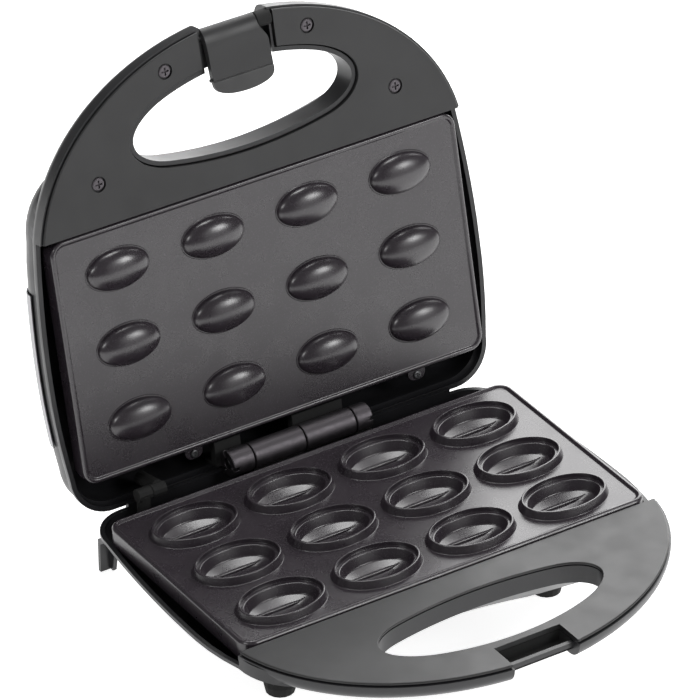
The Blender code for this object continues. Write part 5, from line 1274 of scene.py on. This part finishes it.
def latch():
    """Latch: a plate that rolls over the axle's barrel, a hook rib, end pegs and a rounded finger tab."""
    bm = bmesh.new()
    solid(bm, [loop_verts(bm, ((low_x, outer), (high_x, outer), (high_x, inner), (low_x, inner)), z)
               for outer, inner, z, low_x, high_x in latch_rows()])
    bore = AXLE_RADIUS + GAP
    core = LATCH_BARREL_RADIUS - GAP
    turn(bm, [(LATCH_LEFT_X + GAP, bore), (LATCH_LEFT_X + GAP, core), (LATCH_TOP_X - GAP, core),
              (LATCH_TOP_X - GAP, bore)], (0.0, 0.0, 0.0), "X", BARREL_SEGMENTS, hollow=True)
    inner = -LATCH_BARREL_RADIUS + LATCH_THICKNESS
    tip = inner + HOOK_RISE
    hook = [(inner - GAP, -HOOK_TOP), (tip, -HOOK_TOP), (tip, -HOOK_TOP - HOOK_THICKNESS / 2),
            (inner - GAP, -HOOK_TOP - HOOK_THICKNESS)]
    side_prism(bm, hook, -HOOK_HALF, HOOK_HALF)
    turn(bm, [(-PEG_HALF, PEG_RADIUS * PEG_TIP_SHARE), (-PEG_HALF + PEG_RADIUS / 2, PEG_RADIUS),
              (LATCH_HALF, PEG_RADIUS)],
         (0.0, -LATCH_BARREL_RADIUS + LATCH_THICKNESS / 2, PEG_RADIUS - LATCH_REACH), "X", PEG_SEGMENTS)
    place(scratch(bm), "latch_body", "latch_arm", "cover_plastic", LATCH_EDGE, LATCH_BEVEL_SEGMENTS,
          LATCH_BEVEL_ANGLE, ["latch"])


# Painted shade in the dark insides

def notch_painted_shade():
    """Painted shade: a thin dark tray against the walls of the latch pocket, standing for its unlit inside.
    """
    low_x, high_x = NOTCH_X
    low_y = LIP_Y + LIP_WALL + GAP
    high_y = NOTCH_BACK_Y
    floor = -(LOWER.handle - WALL) + GAP
    top = -cover_back(LOWER_COVER_H)
    sheet = GAP / 2
    bm = bmesh.new()
    box(bm, (low_x + sheet, low_y, floor), (high_x - sheet, high_y, floor + sheet))
    box(bm, (low_x + sheet, high_y - sheet, floor), (high_x - sheet, high_y, top))
    box(bm, (low_x, low_y, floor), (low_x + sheet, high_y, top))
    box(bm, (high_x - sheet, low_y, floor), (high_x, high_y, top))
    # The dark foot rubber finish of this tray is painted shade.
    place(scratch(bm), "latch_pocket_painted_shade", "base", "foot_rubber")


lower_shell()
upper_shell()
lid_panel()
handle_cover("base_cover", LOWER, LOWER_COVER_H, "base", "lower_handle_cover")
handle_cover("lid_cover", LID, UPPER_COVER_H, "lid", "upper_handle_cover")
cooking_plate("cavity_plate", LOWER, cavity_rows(), cup_rows(), LOWER_LUG_X, "base", "lower_plate")
ridges()
cooking_plate("dome_plate", LID, dome_rows(), pocket_rows(), UPPER_LUG_X, "lid", "upper_plate")
hinge_leaf("base_hinge", LOWER, LOWER_BARREL_X, RIGHT_KNUCKLE_X, "base", "lower_hinge_leaf")
hinge_leaf("lid_hinge", LID, UPPER_BARREL_X, LEFT_KNUCKLE_X, "lid", "upper_hinge_leaf")
latch()
notch_painted_shade()
for number, (x, y) in enumerate(screw_places(LID), 1):
    place(screw_head(1.0, x, y, UPPER_COVER_H, 1), f"cover_screw_{number}", "lid", "blackened_steel",
          stands_for=[f"upper_cover_screw_{number}"])
for half, body, plate, lug_places in ((LOWER, "base", "lower", LOWER_LUG_X),
                                      (LID, "lid", "upper", UPPER_LUG_X)):
    top = half.sign * (half.face + LUG_DEPTH - SCREW_HEAD_HEIGHT * SMALL_SCREW_SHARE)
    for number, x in enumerate(lug_places, 1):
        place(screw_head(SMALL_SCREW_SHARE, x, lug_screw_y(), top, half.sign),
              f"{body}_lug_screw_{number}", body, "plated_steel",
              stands_for=[f"{plate}_plate_screw_{number}"])


# Floor, light and camera; metres and watts

FLOOR_HALF = 6.0
FLOOR_CELLS = 4
FLOOR_DROP = 0.2 * MM
FLOOR_COLOUR = (0.80, 0.80, 0.80)
FLOOR_ROUGHNESS = 0.7
FLOOR_SPECULAR = 0.2
FLOOR_GLOW = 0.86
LIGHT_AIM = (0.0, 0.0, 0.1)
# Place, size and power
LIGHTS = {
    "key": ((1.5, -2.1, 1.6), 0.9, 24.0),
    "left": ((-2.0, -0.9, 1.9), 0.7, 12.0),
    "right": ((2.0, 1.5, 1.25), 2.5, 90.0),
    "front": ((0.9, -1.9, 0.85), 1.4, 3.5),
    "top": ((0.35, 0.45, 1.9), 0.7, 12.0),
}
WORLD_COLOUR = (0.9, 0.9, 0.9, 1.0)
WORLD_STRENGTH = 0.18
WHITE = (1.0, 1.0, 1.0, 1.0)
FOCAL_PIXELS = 7137.73
PHOTO_PIXELS = 700.0
SENSOR_WIDTH = 36.0        # mm
CAMERA_REACH = 50.0
CAMERA_PLACE = (-1.415161, -2.193687, 1.784571)
CAMERA_TURN = (57.707567, 0.439527, -32.853255)


def staged(name, data):
    obj = bpy.data.objects.new(name, data)
    bpy.context.scene.collection.objects.link(obj)
    return obj


def by_ray(tree, kinds, usual, special):
    """Shader that is special to two kinds of ray and usual to all others."""
    rays = add(tree, "ShaderNodeLightPath")
    either = add(tree, "ShaderNodeMath", operation="MAXIMUM")
    choose = add(tree, "ShaderNodeMixShader")
    for socket, kind in zip(either.inputs, kinds):
        tree.links.new(rays.outputs[kind], socket)
    for socket, node in zip(choose.inputs, (either, usual, special)):
        tree.links.new(node.outputs[0], socket)
    return choose


def white_backdrop(name):
    """Pale floor: to the camera its lit parts reach white, and the object's shadow stays."""
    mat, tree, shader = node_material(name, FLOOR_COLOUR, FLOOR_ROUGHNESS, specular=FLOOR_SPECULAR)
    glow = add(tree, "ShaderNodeEmission", Strength=FLOOR_GLOW)
    dark = add(tree, "ShaderNodeEmission", Strength=0.0)
    total = add(tree, "ShaderNodeAddShader")
    shown = by_ray(tree, ("Is Camera Ray", "Is Glossy Ray"), dark, glow)
    tree.links.new(shader.outputs[0], total.inputs[0])
    tree.links.new(shown.outputs[0], total.inputs[1])
    tree.links.new(total.outputs[0], tree.nodes["Material Output"].inputs["Surface"])
    return mat


bm = bmesh.new()
bmesh.ops.create_grid(bm, x_segments=FLOOR_CELLS, y_segments=FLOOR_CELLS, size=FLOOR_HALF)
data = bpy.data.meshes.new("floor")
bm.to_mesh(data)
bm.free()
floor = staged("floor", data)
floor.location = (0.0, 0.0, -FLOOR_DROP)
floor.data.materials.append(white_backdrop("floor"))

for name, (point, size, power) in LIGHTS.items():
    light = bpy.data.lights.new(name, "AREA")
    light.energy = power
    light.size = size
    lamp = staged(name, light)
    lamp.location = point
    lamp.rotation_euler = (Vector(LIGHT_AIM) - Vector(point)).to_track_quat("-Z", "Y").to_euler()

world = bpy.data.worlds.new("studio")
bpy.context.scene.world = world
world.use_nodes = True
tree = world.node_tree
background = tree.nodes["Background"]
background.inputs["Color"].default_value = WORLD_COLOUR
background.inputs["Strength"].default_value = WORLD_STRENGTH
white = add(tree, "ShaderNodeBackground", Color=WHITE)
sky = by_ray(tree, ("Is Camera Ray", "Is Transmission Ray"), background, white)
tree.links.new(sky.outputs[0], tree.nodes["World Output"].inputs["Surface"])

camera_data = bpy.data.cameras.new("camera")
camera_data.sensor_width = SENSOR_WIDTH
camera_data.lens = FOCAL_PIXELS * camera_data.sensor_width / PHOTO_PIXELS
camera_data.clip_end = CAMERA_REACH
camera = staged("camera", camera_data)
camera.location = CAMERA_PLACE
camera.rotation_euler = [radians(degrees) for degrees in CAMERA_TURN]
bpy.context.scene.camera = camera
bpy.context.scene.view_settings.view_transform = "Standard"
